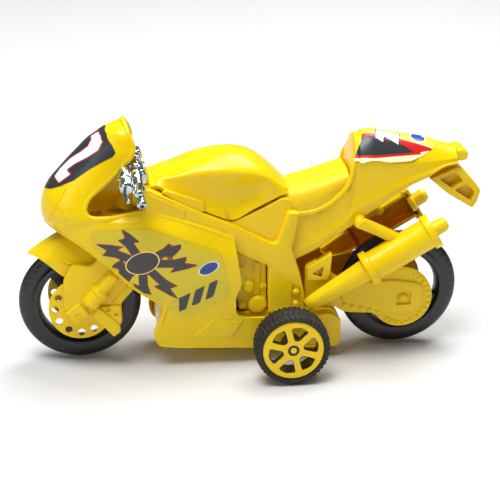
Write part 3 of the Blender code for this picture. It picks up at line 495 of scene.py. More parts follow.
world = bpy.data.worlds.new("studio")
bpy.context.scene.world = world
world.use_nodes = True
world.node_tree.nodes["Background"].inputs["Color"].default_value = (1, 1, 1, 1)
world.node_tree.nodes["Background"].inputs["Strength"].default_value = 0.15
bpy.context.scene.view_settings.view_transform = "Standard"


def lamp(name, place, size, power, target=(0, 0, 0.04)):
    """A square soft light aimed at the toy."""
    light = bpy.data.lights.new(name, "AREA")
    light.size = size
    light.energy = power
    obj = bpy.data.objects.new(name, light)
    obj.location = place
    obj.rotation_euler = (Vector(target) - Vector(place)).to_track_quat("-Z", "Y").to_euler()
    bpy.context.scene.collection.objects.link(obj)


lamp("key_light", (-0.2, -0.2, 0.95), 0.5, 8.6)
lamp("top_light", (0.25, 0.3, 0.9), 0.6, 8.6)
lamp("front_light", (-0.75, -0.6, 0.45), 0.4, 1.1)

# ---------------------------------------------------------------- shells


FAIRING_ROWS = np.array([(-53.3, 0, 83.2, -52.4, 2.5, 83.2, 1), (-58, 0, 81, -51.3, 7, 80.6, 1),
    (-62.6, 0, 78.2, -49.8, 9, 75.9, 1), (-68.4, 0, 72.7, -53.8, 10, 70.2, 1),
    (-73.5, 0, 67.2, -59.9, 10.8, 64.6, 1), (-77.2, 0, 62.6, -64.5, 11.6, 60.4, 1),
    (-79.2, 0, 58.6, -65.8, 12.6, 57.2, 1), (-79.8, 0, 54.8, -65.2, 13.4, 55.2, 1),
    (-79.4, 0, 51.2, -63.4, 13.9, 54.3, 0.95), (-77.4, 2.5, 49.3, -60, 14.4, 54.3, 0.85),
    (-73.5, 8, 47.9, -56.5, 14.8, 54.4, 0.6), (-68.5, 11.5, 45.6, -52.8, 15.2, 54.8, 0.4),
    (-60, 13.3, 38.9, -47.5, 15.6, 55.6, 0.2), (-50.2, 14, 29.5, -42.5, 15.8, 54.6, 0.1),
    (-41, 13.6, 20.4, -36, 15.9, 52.6, 0), (-43.4, 12.9, 12.5, -31, 16, 50.8, 0),
    (-42, 12.4, 8.2, -28.4, 16, 49.8, 0), (-38, 12.2, 7.2, -26, 16, 48.9, 0),
    (-26, 12.3, 6.5, -22, 16, 47.2, 0), (-17.5, 12.4, 6.1, -17.6, 15.9, 45.4, 0),
    (-11, 12.5, 5.8, -12, 15.8, 43, 0), (0, 12.4, 5.3, 0, 15.6, 38, 0), (16.4, 11.8, 4.6, 14, 15.4, 36,
    0), (19.2, 11.4, 4.8, 18, 15.2, 36, 0)])
FAIRING_RUN = chord(0.5 * (FAIRING_ROWS[:, :3] + FAIRING_ROWS[:, 3:6]))
LAST_ROW = len(FAIRING_ROWS) - 1


def fairing_surface(row, share):
    """Points of the left fairing skin: from the lower lip to the cockpit edge each row bows out,
    between a straight line and a quarter ellipse by the row's roundness; the top few millimetres
    of the side panels lean inward as a shoulder."""
    row, share = np.broadcast_arrays(np.asarray(row, float), np.asarray(share, float))
    run = np.interp(row.ravel(), np.arange(len(FAIRING_ROWS)), FAIRING_RUN)
    value = spline(FAIRING_RUN, FAIRING_ROWS, run).reshape(row.shape + (7,))
    lip, edge = value[..., :3], value[..., 3:6]
    bow = np.clip(value[..., 6], 0, 1)
    angle = share * math.pi / 2
    along = (1 - bow) * share + bow * (1 - np.cos(angle))
    out = (1 - bow) * share + bow * np.sin(angle)
    swell = 1.6 * (1 - bow) * 4 * share * (1 - share)
    panel = np.clip((row - 9.5) / 2, 0, 1)
    lean = 2.2 * np.clip((share - 0.86) / 0.14, 0, 1) ** 1.1 * panel
    x = lip[..., 0] + (edge[..., 0] - lip[..., 0]) * along
    z = lip[..., 2] + (edge[..., 2] - lip[..., 2]) * along
    y = lip[..., 1] + (edge[..., 1] - lip[..., 1]) * out + swell - lean
    y = np.where(row < 8.02, np.where(share <= 0, 0, y), np.maximum(y, 0))
    return np.stack([x, -y, z], axis=-1)


FAIRING_WINDOW = [(-17.5, 45.3), (-15.2, 30.1), (-17.1, 25.5), (-16.8, 18.8), (-13.8, 17.4), (15.6, 17.4),
    (18.6, 14.8), (24, 14), (24, 52), (-17.5, 52)]


NOSE_RIB = [(-77.3, 60), (-77.6, 53.4), (-70, 51), (-61, 52.6), (-49.4, 52.7), (-49.2, 57), (-52.6, 62),
    (-52.9, 66.4), (-57.5, 67.6), (-63, 66.6), (-70, 66)]
LAMP_LINES = [[(6.4, 0.46), (5.7, 0.55), (5, 0.57), (4.7, 0.55)], [(8, 0.3), (7, 0.44), (6.2, 0.62),
    (6.6, 0.66), (7.4, 0.68), (7.8, 0.5), (8, 0.3)]]


def window_tools(prefix):
    """Solids that open the fairing's sides over the motor and clear the drive axle."""
    tools = []
    for side in (-1, 1):
        tools.append(plate(prefix + str(side), FAIRING_WINDOW, side * 5, side * 22, edge=CRISP,
            corner=1.4))
        tools.append(button(prefix + "bore" + str(side), 0, DRIVE_Z, side * 5, side * 22, 1.85))
    return tools


def build_fairing():
    """The one-piece fairing with its rolled cockpit rim."""
    rows, columns = 220, 30
    half = fairing_surface(np.linspace(0, LAST_ROW, rows)[:, None], np.linspace(0, 1, columns)[None])
    other = half * (1, -1, 1)
    points = np.concatenate([half.reshape(-1, 3), other.reshape(-1, 3)])
    faces = grid_faces(rows, columns) + grid_faces(rows, columns, start=rows * columns)
    skin = make_piece("fairing_skin", points, faces, sharp=50)
    outward(skin, (-40, 0, 45))
    thicken(skin, FAIRING_WALL)
    settle(skin)
    for side, word in ((-1, "left"), (1, "right")):
        for index, line in enumerate(LAMP_LINES):
            line = np.array(line)
            path = fairing_surface(line[:, 0], line[:, 1]) * (1, -side, 1)
            tube(f"lamp_line_{index}_{word}", path, 0.2, sides=8, samples=60)
        inset_row, inset_share = np.meshgrid(np.linspace(0, 1, 12), np.linspace(0, 1, 10), indexing="ij")
        inset = fairing_surface(17.45 + 1.5 * inset_row + 0.55 * inset_share, 0.1 + 0.17 * inset_share)
        inset = inset * (1, -side, 1) + (0, side * 0.3, 0)
        badge = make_piece("belly_badge_" + word, inset.reshape(-1, 3), grid_faces(12, 10))
        outward(badge, (-25, 0, 12))
        thicken(badge, 0.6)
    cut_away(skin, *window_tools("skin_window"))
    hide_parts("fairing")
    plate("nose_rib", NOSE_RIB, -1.3, 1.3, edge=0.3, corner=1.5, back_edge=0.3)
    path_rows = np.linspace(LAST_ROW, 0, 230)
    rim_left = fairing_surface(path_rows, np.ones(230)) + (0, 0.75, -0.1)
    rim = np.concatenate([rim_left, (rim_left * (1, -1, 1))[::-1][1:]])
    bead = tube("fairing_rim", rim[::3], 0.95, sides=16, samples=460)
    cut_away(bead, *window_tools("rim_window"))
    for side, word in ((-1, "left"), (1, "right")):
        lip = fairing_surface(np.linspace(8.6, LAST_ROW, 120), np.zeros(120)) * (1, -side, 1)
        tube("fairing_lip_" + word, lip[::2] + (0, -side * 0.5, 0), 0.65, sides=12, samples=240)


def loft(name, sections, wall, node, x_steps, y_steps, material=None):
    """A shell through half sections of (|y|, z) points at x stations, interpolated smoothly both
    ways, mirrored across the centre plane and given a wall inward."""
    x = np.array([s[0] for s in sections], float)
    ring = np.array([s[1] for s in sections], float)
    fine_x = np.linspace(x[0], x[-1], x_steps)
    ring = spline(x, ring, fine_x)
    share = np.linspace(0, 1, ring.shape[1])
    fine = spline(share, ring.transpose(1, 0, 2), np.linspace(0, 1, y_steps)).transpose(1, 0, 2)
    half = np.stack([np.broadcast_to(fine_x[:, None], fine.shape[:2]), -fine[..., 0], fine[..., 1]],
        axis=-1)
    half[:, 0, 1] = 0
    whole = both_halves(half)
    piece = make_piece(name, whole.reshape(-1, 3), grid_faces(*whole.shape[:2]), material, sharp=50)
    outward(piece, (float(np.mean(x)), 0, float(ring[:, :, 1].min()) - 5))
    thicken(piece, wall)
    settle(piece)
    if node:
        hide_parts(node)
    return piece


TANK_SECTIONS = [(-46.2, [(0, 59.6), (4.2, 59.6), (6.6, 59.5), (7.9, 59.4), (8.9, 59.3), (9.5, 59.2)]),
    (-45.4, [(0, 63.6), (4.4, 63.4), (6.9, 63), (8.1, 62.6), (9.1, 62.2), (9.7, 61.9)]),
    (-43.3, [(0, 65.2), (4.5, 65), (7, 64.5), (8.4, 64), (9.4, 63.8), (10, 63.6)]),
    (-37, [(0, 67.6), (5.2, 67.2), (8.6, 66), (9.2, 63.8), (9.9, 61.6), (10.8, 60.1)]),
    (-30, [(0, 70.3), (6, 69.8), (10, 67.2), (9.8, 63), (10.2, 59.4), (11.2, 56.4)]),
    (-23, [(0, 72), (6.6, 71.2), (11.2, 67.8), (9.8, 62.2), (9.6, 57.2), (11, 52.8)]),
    (-17.6, [(0, 72.4), (6.8, 71.5), (11.8, 67.8), (9.6, 62), (9.2, 56.4), (10.9, 51.2)]),
    (-11, [(0, 71), (6.6, 70.3), (11.7, 67), (9.6, 63), (9.2, 58.6), (10.7, 54.4)]),
    (-5, [(0, 67.2), (6, 66.6), (9.7, 64.8), (10.4, 62.4), (10.4, 60), (10.5, 57.3)]),
    (-1.2, [(0, 63.6), (5, 63.1), (8.5, 61.9), (9.3, 60.8), (9.7, 59.8), (10, 58.9)]),
    (0.8, [(0, 61.6), (4.6, 61.4), (8.2, 60.6), (8.6, 60), (8.9, 59.6), (9.2, 59.2)])]
SEAT_SECTIONS = [(-1.4, [(0, 59.6), (4.6, 59.5), (7.6, 58.4), (9, 56.6), (9.2, 54.6), (9, 51.4)]),
    (1.7, [(0, 60.3), (5, 60.2), (8.3, 59), (9.6, 57), (9.8, 54.6), (9.6, 51.4)]),
    (4.5, [(0, 60.9), (5.4, 60.8), (9, 59.5), (10.2, 57), (10.1, 54.4), (9.7, 51.2)]),
    (9, [(0, 62), (5.6, 61.9), (9.2, 60.5), (10.4, 57.2), (10.1, 54.2), (9.8, 51)]),
    (15, [(0, 63.8), (5.6, 63.7), (9, 62.5), (10.2, 60), (10, 57.2), (9.7, 54)]),
    (20.9, [(0, 65.8), (5.2, 65.7), (8.4, 64.8), (9.4, 63.4), (9.4, 61.6), (9.3, 59.4)])]
FENDER_SECTIONS = [(-84.6, [(0, 38.6), (0.5, 38.5), (0.8, 38.4), (1, 38.2)]),
    (-83, [(0, 39.6), (1.6, 39.4), (2.6, 39), (3.2, 38.6)]), (-80, [(0, 41.5), (3.2, 40.9), (5.6, 38.8),
    (5.9, 37.4)]), (-76.5, [(0, 43.5), (3.8, 42.7), (6.8, 38.2), (7, 34.8)]),
    (-73.4, [(0, 45), (4, 44.1), (7.2, 37.4), (7.4, 32.2)]), (-69, [(0, 45.8), (4.2, 44.9), (7.4, 36.9),
    (7.6, 31.6)]), (-64, [(0, 45.2), (4.2, 44.3), (7.4, 36.4), (7.6, 31.6)]),
    (-58.5, [(0, 43.2), (4.2, 42.3), (7.2, 36), (7.4, 32)])]
TAIL_STATIONS = np.array([(0.6, 51.6, 9.9, 0.5, 34.6, 10.2), (5.2, 52, 10.2, 0.5, 37, 10.5),
    (11.9, 53, 10.3, 0.5, 40.4, 10.5), (16, 56.2, 10.2, 0.5, 43.2, 10.4), (20.6, 60.2, 10.1, 0.5, 46.2,
    10.3), (21.5, 61.6, 9.9, 0.8, 46.8, 10.2), (22.1, 69, 9.4, 4, 47.2, 10.2),
    (23, 74.6, 9.2, 6.5, 47.8, 10.1), (25, 76, 9.2, 7.5, 49.2, 10), (28.2, 77.2, 9.2, 8, 51.4, 9.9),
    (35, 76.3, 9.1, 8, 56, 9.6), (42, 75, 8.7, 7.4, 60.3, 9.2), (48, 73.8, 8, 6, 62.8, 8.6),
    (54, 71.9, 7, 4, 65.9, 7.4), (58.3, 70.8, 6, 2.6, 66.3, 6.2)])


def tail_surface(x, share):
    """Points of the left tail skin: share 0 to 1 runs over the top from the crest to the shoulder,
    falling with the share to the power 2.3, and 1 to 2 runs down the side past a low fold."""
    x, share = np.broadcast_arrays(np.asarray(x, float), np.asarray(share, float))
    value = spline(TAIL_STATIONS[:, 0], TAIL_STATIONS[:, 1:], x.ravel()).reshape(x.shape + (5,))
    crest, half, drop, low, low_half = np.moveaxis(value, -1, 0)
    over = np.clip(share, 0, 1)
    down = np.clip(share - 1, 0, 1)
    shoulder = crest - drop
    fold = 0.5 * np.clip(1 - np.abs(down - 0.78) / 0.22, 0, 1)
    y = half * over + (low_half - half) * down + fold
    z = crest - drop * over ** 2.3 + (low - shoulder) * down
    return np.stack([x, -y, z], axis=-1)


def build_shells():
    """Tank with its knee recesses and duct slots, grained seat, tail cowl and lamp."""
    tank = loft("tank_skin", TANK_SECTIONS, SHELL_WALL, "fuel_tank", 110, 60)
    slots = []
    for side in (-1, 1):
        slots.append(tube("duct_slot" + str(side), [(-39.8, side * 10.2, 63.6), (-34, side * 10.6, 61.6),
            (-20.6, side * 10.3, 56.4), (-18.9, side * 10.6, 51)], 0.7, sides=12, samples=50))
    cut_away(tank, *slots)
    for side, word in ((-1, "left"), (1, "right")):
        plate("tank_duct_" + word, [(-41, 61.7), (-39.8, 62.5), (-27.3, 58), (-27, 54.6), (-30, 54.2)],
            side * 9.4, side * 11.7, edge=0.35, corner=0.6)
    loft("seat_pad", SEAT_SECTIONS, SHELL_WALL, "seat", 60, 44, GRAINED)
    x = np.concatenate([np.linspace(0.6, 21, 40), np.linspace(21.2, 25, 30), np.linspace(25.5, 58.3, 60)])
    share = np.concatenate([np.linspace(0, 1, 22), np.linspace(1.02, 2, 24)])
    half = tail_surface(x[:, None], share[None])
    whole = both_halves(half)
    cowl = make_piece("tail_skin", whole.reshape(-1, 3), grid_faces(*whole.shape[:2]), sharp=45)
    outward(cowl, (32, 0, 50))
    thicken(cowl, TAIL_WALL)
    settle(cowl)
    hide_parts("tail_cowl")
    for side, word in ((-1, "left"), (1, "right")):
        tube("seat_seam_" + word, [(0.9, side * 9.9, 51.9), (4.5, side * 10.1, 52.2),
            (9, side * 10.2, 52.7), (13, side * 10.1, 54.3), (17.2, side * 9.9, 57.4),
            (20.2, side * 9.6, 60.6), (21.8, side * 9.1, 64), (22.5, side * 8.6, 67.2),
            (23.6, side * 7.8, 69.4)], 0.95, sides=20, samples=90)
    lamp_body = plate("tail_light", [(58, 66.6), (61, 66.4), (62.3, 67.4), (62.3, 69.6), (60.6, 70.7),
        (58, 70.9)], -4.7, 4.7, edge=1.1, corner=1, back_edge=1.1)
    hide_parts("tail_lamp")


# ---------------------------------------------------------------- frame, engine, swingarm, exhausts

BEAM = [(-46.8, 63.6), (-44.8, 63.1), (-27.1, 54), (-17.3, 49.7), (-4.8, 43), (-3.1, 43.3), (0.4, 53.9),
    (4.5, 53.4), (2.4, 43), (1.8, 41.1), (4.8, 31.8), (6.6, 23.6), (6.6, 17.8), (-5.6, 17.8), (-6, 35),
    (-15.9, 39.8), (-30, 46), (-46.8, 54.5)]
INFILL = [(-19.6, 48.6), (-18.6, 50), (-10, 53.5), (-1.4, 57.9), (0.7, 57.6), (2.6, 52.3), (-0.8, 39.2),
    (-9.6, 41.6)]
TUB = [(-40.4, 20), (-42.3, 15.4), (-42.3, 10.4), (-40.5, 8), (-38, 7.2), (-11.1, 5.8), (16.4, 4.6),
    (19.4, 5), (18.9, 15), (16.3, 17.9), (6.3, 18.2), (-17, 18), (-20, 27), (-24, 49.5), (-28, 50),
    (-33, 21.5)]
TUB_POCKET = [(-38.5, 17.5), (-40.6, 14.5), (-40.6, 11), (-38.5, 8.7), (-11, 6.9), (16, 5.9), (17.8, 6.6),
    (17.3, 14.5), (15.5, 16.6), (5.5, 16.8), (5.5, 20), (-14, 20), (-17.5, 29), (-22.6, 30.5),
    (-25.4, 48), (-27, 48), (-31.5, 20.5)]
ENGINE = [(-15.3, 18.4), (-6, 18.4), (-6.4, 34.6), (-15.6, 39.2), (-19.6, 41), (-16.6, 27)]
ENGINE_KNOBS = [(-12.4, 27.1, 2.2, 12), (-9.2, 20.4, 3.3, 11.8), (-14.4, 20.2, 1.3, 11.4),
    (-7.3, 27, 1.25, 10.9)]
SWINGARM_ROOT = [(7.4, 18.7), (16.6, 18.7), (20.4, 16.2), (22.8, 15.8)]
HEEL = [(30, 30.4), (18.5, 28.5), (15.4, 30.8), (15.8, 37.9), (15, 37.7), (7.4, 33)]
HEEL_WINDOW = [(9, 31), (12.9, 33.4), (12.5, 29.4)]
SWINGARM_RIDGE = [(19, 20.6), (36.5, 15.2), (45.6, 15.8), (47.3, 18.4), (47.3, 23.8), (45.6, 26),
    (37, 27.4), (20, 27.2)]
MUDGUARD = [(49.2, 60.9), (58.4, 64.9), (61.2, 63.1), (65.2, 58.8), (67.1, 56), (66.2, 52.4),
    (64.7, 49.8), (56, 55.2)]
MUDGUARD_POCKETS = [[(52.6, 60.6), (57.9, 62.9), (60.9, 59.7), (57, 57.2)],
    [(58, 56.6), (61.8, 58.8), (65, 55.6), (64, 52.4)]]


def build_frame(side, word):
    """One side's spar with its infill panel and the lower tub wall."""
    beam = plate("spar_" + word, BEAM, side * 8.3, side * 12.9, edge=0.8, corner=1)
    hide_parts("frame_" + word)
    plate("spar_infill_" + word, INFILL, side * 8.5, side * 10.7, edge=0.3, corner=0.8)
    tub = plate("tub_wall_" + word, TUB, side * 0.2, side * 10.9, edge=0.6, corner=1.4)
    cut_away(tub, plate("tub_pocket" + word, TUB_POCKET, side * -1, side * 9.3, edge=CRISP, corner=1),
        button("tub_bore" + word, 0, DRIVE_Z, side * 8, side * 12, 1.4, edge=CRISP))
    plate("spar_step_" + word, [(-46.5, 62.6), (-33.3, 56), (-35, 49.6), (-46.5, 55.2)], side * 12.5,
        side * 13.25, edge=0.25, corner=0.5)
    sunk = plate("pillar_cut_" + word, [(2.2, 28.6), (5.1, 27.2), (5.9, 19), (1.6, 19)], side * 12.3,
        side * 14, edge=CRISP, corner=0.5)
    cut_away(beam, sunk)
    for index, (x, z) in enumerate([(3.5, 25.2), (3.6, 21)]):
        button(f"pillar_bump_{index}_{word}", x, z, side * 11.5, side * 13.5, 1.2, edge=0.9)


def build_engine(side, word):
    """Half of the moulded engine block with its round covers and rib."""
    block = plate("engine_block_" + word, ENGINE, side * 8.7, side * 9.9, edge=0.25, corner=0.7)
    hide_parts("engine_" + word)
    for index, (x, z, radius, out) in enumerate(ENGINE_KNOBS):
        button(f"engine_cover_{index}_{word}", x, z, side * 9.5, side * out, radius,
            edge=min(1.2, radius * 0.6))
    plate("engine_rib_" + word, [(-10.3, 36), (-8.4, 35.2), (-8.4, 24), (-10.3, 24)], side * 9.6,
        side * 10.7, edge=0.35, corner=0.4)
    plate("engine_cowl_" + word, [(-16.4, 35), (-13.6, 34.2), (-13, 23), (-16.2, 27)], side * 9.6,
        side * 11, edge=0.45, corner=0.6)


CHAIN_X, CHAIN_RADIUS, LINK_CIRCLE, LINK_RADIUS = REAR_X - 0.8, 10.6, 9.2, 0.95


def chain_arc(radius, start, end, steps):
    """Points (x, z) along an arc about the chain cover's centre, angles in degrees."""
    angle = np.radians(np.linspace(start, end, steps))
    return np.column_stack([CHAIN_X + radius * np.cos(angle), REAR_Z + radius * np.sin(angle)]).tolist()


def build_swingarm(side, word):
    """The swingarm with its round chain cover, heel guard, raised arm and square axle seat."""
    outline = SWINGARM_ROOT + chain_arc(CHAIN_RADIUS, -150, 100, 26) + HEEL
    arm = plate("swingarm_plate_" + word, outline, side * 8.7, side * 10.6, edge=0.4, corner=0.5)
    cut_away(arm, plate("heel_cut" + word, HEEL_WINDOW, side * 9.4, side * 14, edge=CRISP, corner=0.5))
    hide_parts("swingarm_" + word)
    heel = plate("heel_guard_" + word, HEEL[2:] + [(7.4, 28.6), (14.6, 28.2)], side * 9.6, side * 11.4,
        edge=0.45, corner=0.6)
    cut_away(heel, plate("guard_cut" + word, HEEL_WINDOW, side * 8, side * 14, edge=CRISP, corner=0.5))
    ridge = plate("swingarm_ridge_" + word, SWINGARM_RIDGE, side * 9.5, side * 11.6, edge=0.5, corner=1.2)
    x, z = REAR_X - 0.3, REAR_Z + 0.2
    seat = plate("seat_cut" + word, [(x - 2.5, z - 2.5), (x + 2.5, z - 2.5), (x + 2.5, z + 2.5),
        (x - 2.5, z + 2.5)], side * 10.7, side * 14, edge=CRISP, corner=0.3)
    cut_away(ridge, seat)
    button("axle_bolt_" + word, x, z, side * 10.2, side * 11.9, 1.5, edge=0.6)
    for index, (bump_x, bump_z) in enumerate(chain_arc(LINK_CIRCLE, -200, 62, 21)):
        if bump_x > REAR_X - 6.5:
            button(f"chain_link_{index}_{word}", bump_x, bump_z, side * 10.2, side * 11.15, LINK_RADIUS,
                steps=18, edge=0.7)
    for index in range(5):
        button(f"chain_run_{index}_{word}", 20.6 + 2.9 * index, 18.7 - 0.75 * index, side * 10.2,
            side * 11.1, LINK_RADIUS, steps=18, edge=0.7)
    plate("arm_root_" + word, [(7, 17.4), (7, 33.4), (11, 35.6), (12, 27.4), (19, 22), (19, 18.4)],
        side * 8, side * 10.1, edge=0.5, corner=0.8)


EXHAUST_SLOPE = math.radians(31)
EXHAUST_OPEN = math.radians(112)      # half the turn that the shell covers, open towards the wheel


def build_exhaust(side, word):
    """The exhaust: a half shell, open towards the wheel, of a lower pipe and a fat silencer between
    two collars, with a solid tail pipe, on a hanger."""
    axis = (math.cos(EXHAUST_SLOPE), 0, math.sin(EXHAUST_SLOPE))
    foot = (8.4, side * 14.1, 21.6)
    shell = [(2.2, -1.6), (2.6, 1.5), (3.9, 21.5), (6.1, 21.5), (6.1, 24.1), (5.15, 24.1), (5.15, 45.2),
        (6.1, 45.2), (6.1, 47.8), (2.2, 47.8)]
    middle = 0 if side < 0 else math.pi
    pipe = turned("exhaust_pipe_" + word, fillet(shell, 0.45), foot, axis=axis, steps=72,
        sweep=(middle - EXHAUST_OPEN, middle + EXHAUST_OPEN))
    outward(pipe, (foot[0] + 28 * axis[0], foot[1], foot[2] + 28 * axis[2]))
    thicken(pipe, THIN_WALL)
    settle(pipe)
    tail = [(0, 45.4), (3.4, 45.4), (3.4, 47.2), (2.6, 47.5), (2.5, 51.2), (1.6, 52.6), (0, 52.8)]
    turned("tail_pipe_" + word, fillet(tail, 0.35), foot, axis=axis, steps=48)
    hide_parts("exhaust_" + word)
    tube("exhaust_hanger_" + word, [(24, side * 12.2, 49.2), (29.5, side * 12.9, 46.9),
        (37, side * 13.6, 43.2)], 2, sides=24, samples=24)
    button("hanger_stub_" + word, 24.8, 49.2, side * 9.2, side * 13.3, 1.75, edge=0.6)
    plate("hanger_web_" + word, [(22.6, 48), (25, 50.6), (32, 47.2), (30.4, 44.6)], side * 12,
        side * 14.4, edge=0.5, corner=0.8)


def build_mudguard():
    """The rear number-plate hanger with its two sunk panels on each side."""
    hanger = plate("mudguard_body", MUDGUARD, -5.2, 5.2, edge=0.5, corner=0.8, back_edge=0.5)
    tools = []
    for side in (-1, 1):
        for index, pocket in enumerate(MUDGUARD_POCKETS):
            tools.append(plate(f"pocket{index}{side}", pocket, side * 2.2, side * 9, edge=CRISP,
                corner=0.5))
    cut_away(hanger, *tools)
    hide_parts("rear_mudguard")


# ---------------------------------------------------------------- wheels


TYRE_LUGS = 46                  # notches round each tyre shoulder
BEAD_RADIUS = 15.4              # where the tyre meets its rim


def build_wheel(prefix, body, centre_x, centre_z, spoke_start):
    """A satin rim with three tapered spokes and a plain round-shouldered tyre."""
    centre = (centre_x, 0, centre_z)
    rim_profile = [(15.7, -4), (13.9, -4), (13.5, -2.6), (13.2, -1.2), (13.2, 1.2), (13.5, 2.6),
        (13.9, 4), (15.7, 4)]
    rim = turned(prefix + "_rim_ring", fillet(rim_profile, 0.5) + [0, 0], centre, BLACK, body,
        closed=True, steps=120)
    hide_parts(prefix + "_rim")
    hub = [(0, -5.8), (3.2, -5.8), (3.2, -2.6), (3.9, -1.8), (3.9, 1.8), (3.2, 2.6), (3.2, 5.8), (0, 5.8)]
    turned(prefix + "_hub", fillet(hub, 0.35), centre, BLACK, body, steps=48)
    for index in range(3):
        angle = math.radians(spoke_start + 120 * index)
        along = np.array([math.cos(angle), math.sin(angle)])
        side = np.array([-along[1], along[0]])
        corners = [3 * along - 2.3 * side, 13.6 * along - 1.5 * side, 13.6 * along + 1.5 * side,
            3 * along + 2.3 * side]
        outline = [(centre_x + c[0], centre_z + c[1]) for c in corners]
        plate(f"{prefix}_spoke_{index}", outline, -2.2, 2.2, BLACK, body, edge=0.8, corner=0.2,
            back_edge=0.8)
    around, lanes = 480, 40
    phase = np.linspace(-1.15 * math.pi / 2, 1.15 * math.pi / 2, lanes)
    bulge = BEAD_RADIUS + (WHEEL_RADIUS - BEAD_RADIUS) * np.clip(np.cos(phase / 1.15), 0, 1) ** 0.55
    width = 0.5 * TYRE_HALF * np.sin(phase / 1.15)
    angle = np.linspace(0, 2 * math.pi, around, endpoint=False)
    groove = np.clip(np.sin(angle[:, None] * TYRE_LUGS + np.abs(width)[None] * 1.1) * 4 - 2.6, 0, 1)
    tread = np.clip((np.abs(bulge - WHEEL_RADIUS) < 2.3).astype(float), 0, 1)
    shoulder = np.clip((np.abs(width) - 1.2) / 1, 0, 1)
    radius = bulge[None] - 0.5 * groove * tread[None] * shoulder[None]
    points = np.stack([centre_x + radius * np.cos(angle)[:, None], np.broadcast_to(width, radius.shape),
        centre_z + radius * np.sin(angle)[:, None]], axis=-1)
    inner = np.stack([centre_x + 15.5 * np.cos(angle), centre_z + 15.5 * np.sin(angle)], axis=-1)
    bead = np.stack([np.broadcast_to(inner[:, None, 0], (around, 2)),
        np.broadcast_to(np.array([width[-1] * 0.94, width[0] * 0.94]), (around, 2)),
        np.broadcast_to(inner[:, None, 1], (around, 2))], axis=-1)
    points = np.concatenate([points, bead], axis=1)
    tyre = make_piece(prefix + "_tyre_body", points.reshape(-1, 3), grid_faces(around, lanes + 2,
        wrap_rows=True, wrap_columns=True), BLACK, body, 38)
    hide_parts(prefix + "_tyre")


def window_outline(angle, inner, outer, half_in, half_out):
    """A rounded wedge between two radii about the drive axle, as (x, z) points."""
    corners = [(inner, -half_in), (outer, -half_out), (outer + 0.45, 0), (outer, half_out),
        (inner, half_in), (inner - 0.35, 0)]
    turned_corners = []
    for radius, spread in corners:
        at = math.radians(angle + spread)
        turned_corners.append((radius * math.cos(at), DRIVE_Z + radius * math.sin(at)))
    return turned_corners


DRIVE_TEETH = 44                # teeth round each edge of a drive tyre
DRIVE_BEAD = 10.6               # where the drive tyre leaves its dish


def build_drive_wheel(side, word):
    """A drive wheel: black dish with a yellow six-window face and a toothed rubber tyre."""
    outer = side * DRIVE_OUT
    body = "drive"
    inward = -side
    centre = (0, outer, DRIVE_Z)
    dish = [(0, 0.5), (2.6, 0.5), (9.9, 0.45), (10.3, 0.6), (10.3, DRIVE_WIDTH - 0.2),
        (9.2, DRIVE_WIDTH - 0.2), (9.2, 3), (8.9, 2.4), (3.4, 2.4), (3.4, DRIVE_WIDTH - 2.5),
        (0, DRIVE_WIDTH - 2.5)]
    profile = [(r, reach * inward) for r, reach in dish]
    hub = turned("drive_dish_" + word, profile, centre, BLACK, body, steps=120)
    face = turned("drive_face_" + word, fillet([(0, 0.7 * inward), (0, 0.1 * inward), (9.7, 0.1 * inward),
        (10.1, 0.4 * inward), (10, 0.9 * inward), (0, 0.9 * inward)], 0.08), centre, body=body, steps=120)
    hub_tools = []
    face_tools = []
    for index in range(6):
        angle = 14 + 60 * index
        hub_tools.append(plate(f"dish_cut_{index}{word}", window_outline(angle, 3.9, 7.8, 13, 20.5),
            outer + side * 2, outer - side * 5, BLACK, body, edge=CRISP, corner=0.9))
        face_tools.append(plate(f"face_cut_{index}{word}", window_outline(angle, 3.65, 8.1, 15, 22.5),
            outer + side * 2, outer - side * 5, BLACK, body, edge=CRISP, corner=1))
    face_tools.append(button("boss_cut" + word, 0, DRIVE_Z, outer + side * 2, outer - side * 4, 1.95,
        BLACK, body))
    cut_away(hub, *hub_tools)
    cut_away(face, *face_tools)
    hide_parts("drive_hub_" + word)
    turned("drive_boss_" + word, fillet([(1, 0.9 * inward), (1.05, 0.15 * inward), (1.9, 0.15 * inward),
        (1.9, 0.9 * inward)], 0.2), centre, BLACK, body, steps=48, closed=True)
    turned("drive_nail_" + word, fillet([(0, 1.2 * inward), (1.05, 1.2 * inward), (1, 0),
        (0.45, -0.05 * inward), (0, 0.1 * inward)], 0.2), centre, body=body, steps=40)
    around, lanes = 720, 34
    angle = np.linspace(0, 2 * math.pi, around, endpoint=False)
    width = 0.5 * DRIVE_WIDTH
    turnover = np.linspace(-math.pi / 2, math.pi / 2, lanes)
    reach = width * np.sin(turnover)
    round_part = DRIVE_BEAD + (DRIVE_RADIUS - DRIVE_BEAD) * np.clip(np.cos(turnover), 0, 1) ** 0.28
    side_of = np.where(reach > 0, math.pi, 0)
    teeth = np.clip(np.sin(angle[:, None] * DRIVE_TEETH + side_of[None]) * 3, -1, 1) * 0.5 + 0.5
    edge_share = np.clip((np.abs(reach) - 0.6) / 0.5, 0, 1)
    crown = np.clip((round_part - 11.4) / 0.5, 0, 1)
    radius = round_part[None] - 0.34 * teeth * (edge_share * crown)[None]
    middle = outer - side * width
    points = np.stack([radius * np.cos(angle)[:, None], np.broadcast_to(middle + reach, radius.shape),
        DRIVE_Z + radius * np.sin(angle)[:, None]], axis=-1)
    core = np.stack([np.broadcast_to((10.32 * np.cos(angle))[:, None], (around, 2)),
        np.broadcast_to(middle + np.array([width, -width]) * 0.96, (around, 2)),
        np.broadcast_to((DRIVE_Z + 10.32 * np.sin(angle))[:, None], (around, 2))], axis=-1)
    points = np.concatenate([points, core], axis=1)
    tyre = make_piece("drive_tread_" + word, points.reshape(-1, 3), grid_faces(around, lanes + 2,
        wrap_rows=True, wrap_columns=True), RUBBER, body, 38)
    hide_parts("drive_tyre_" + word)


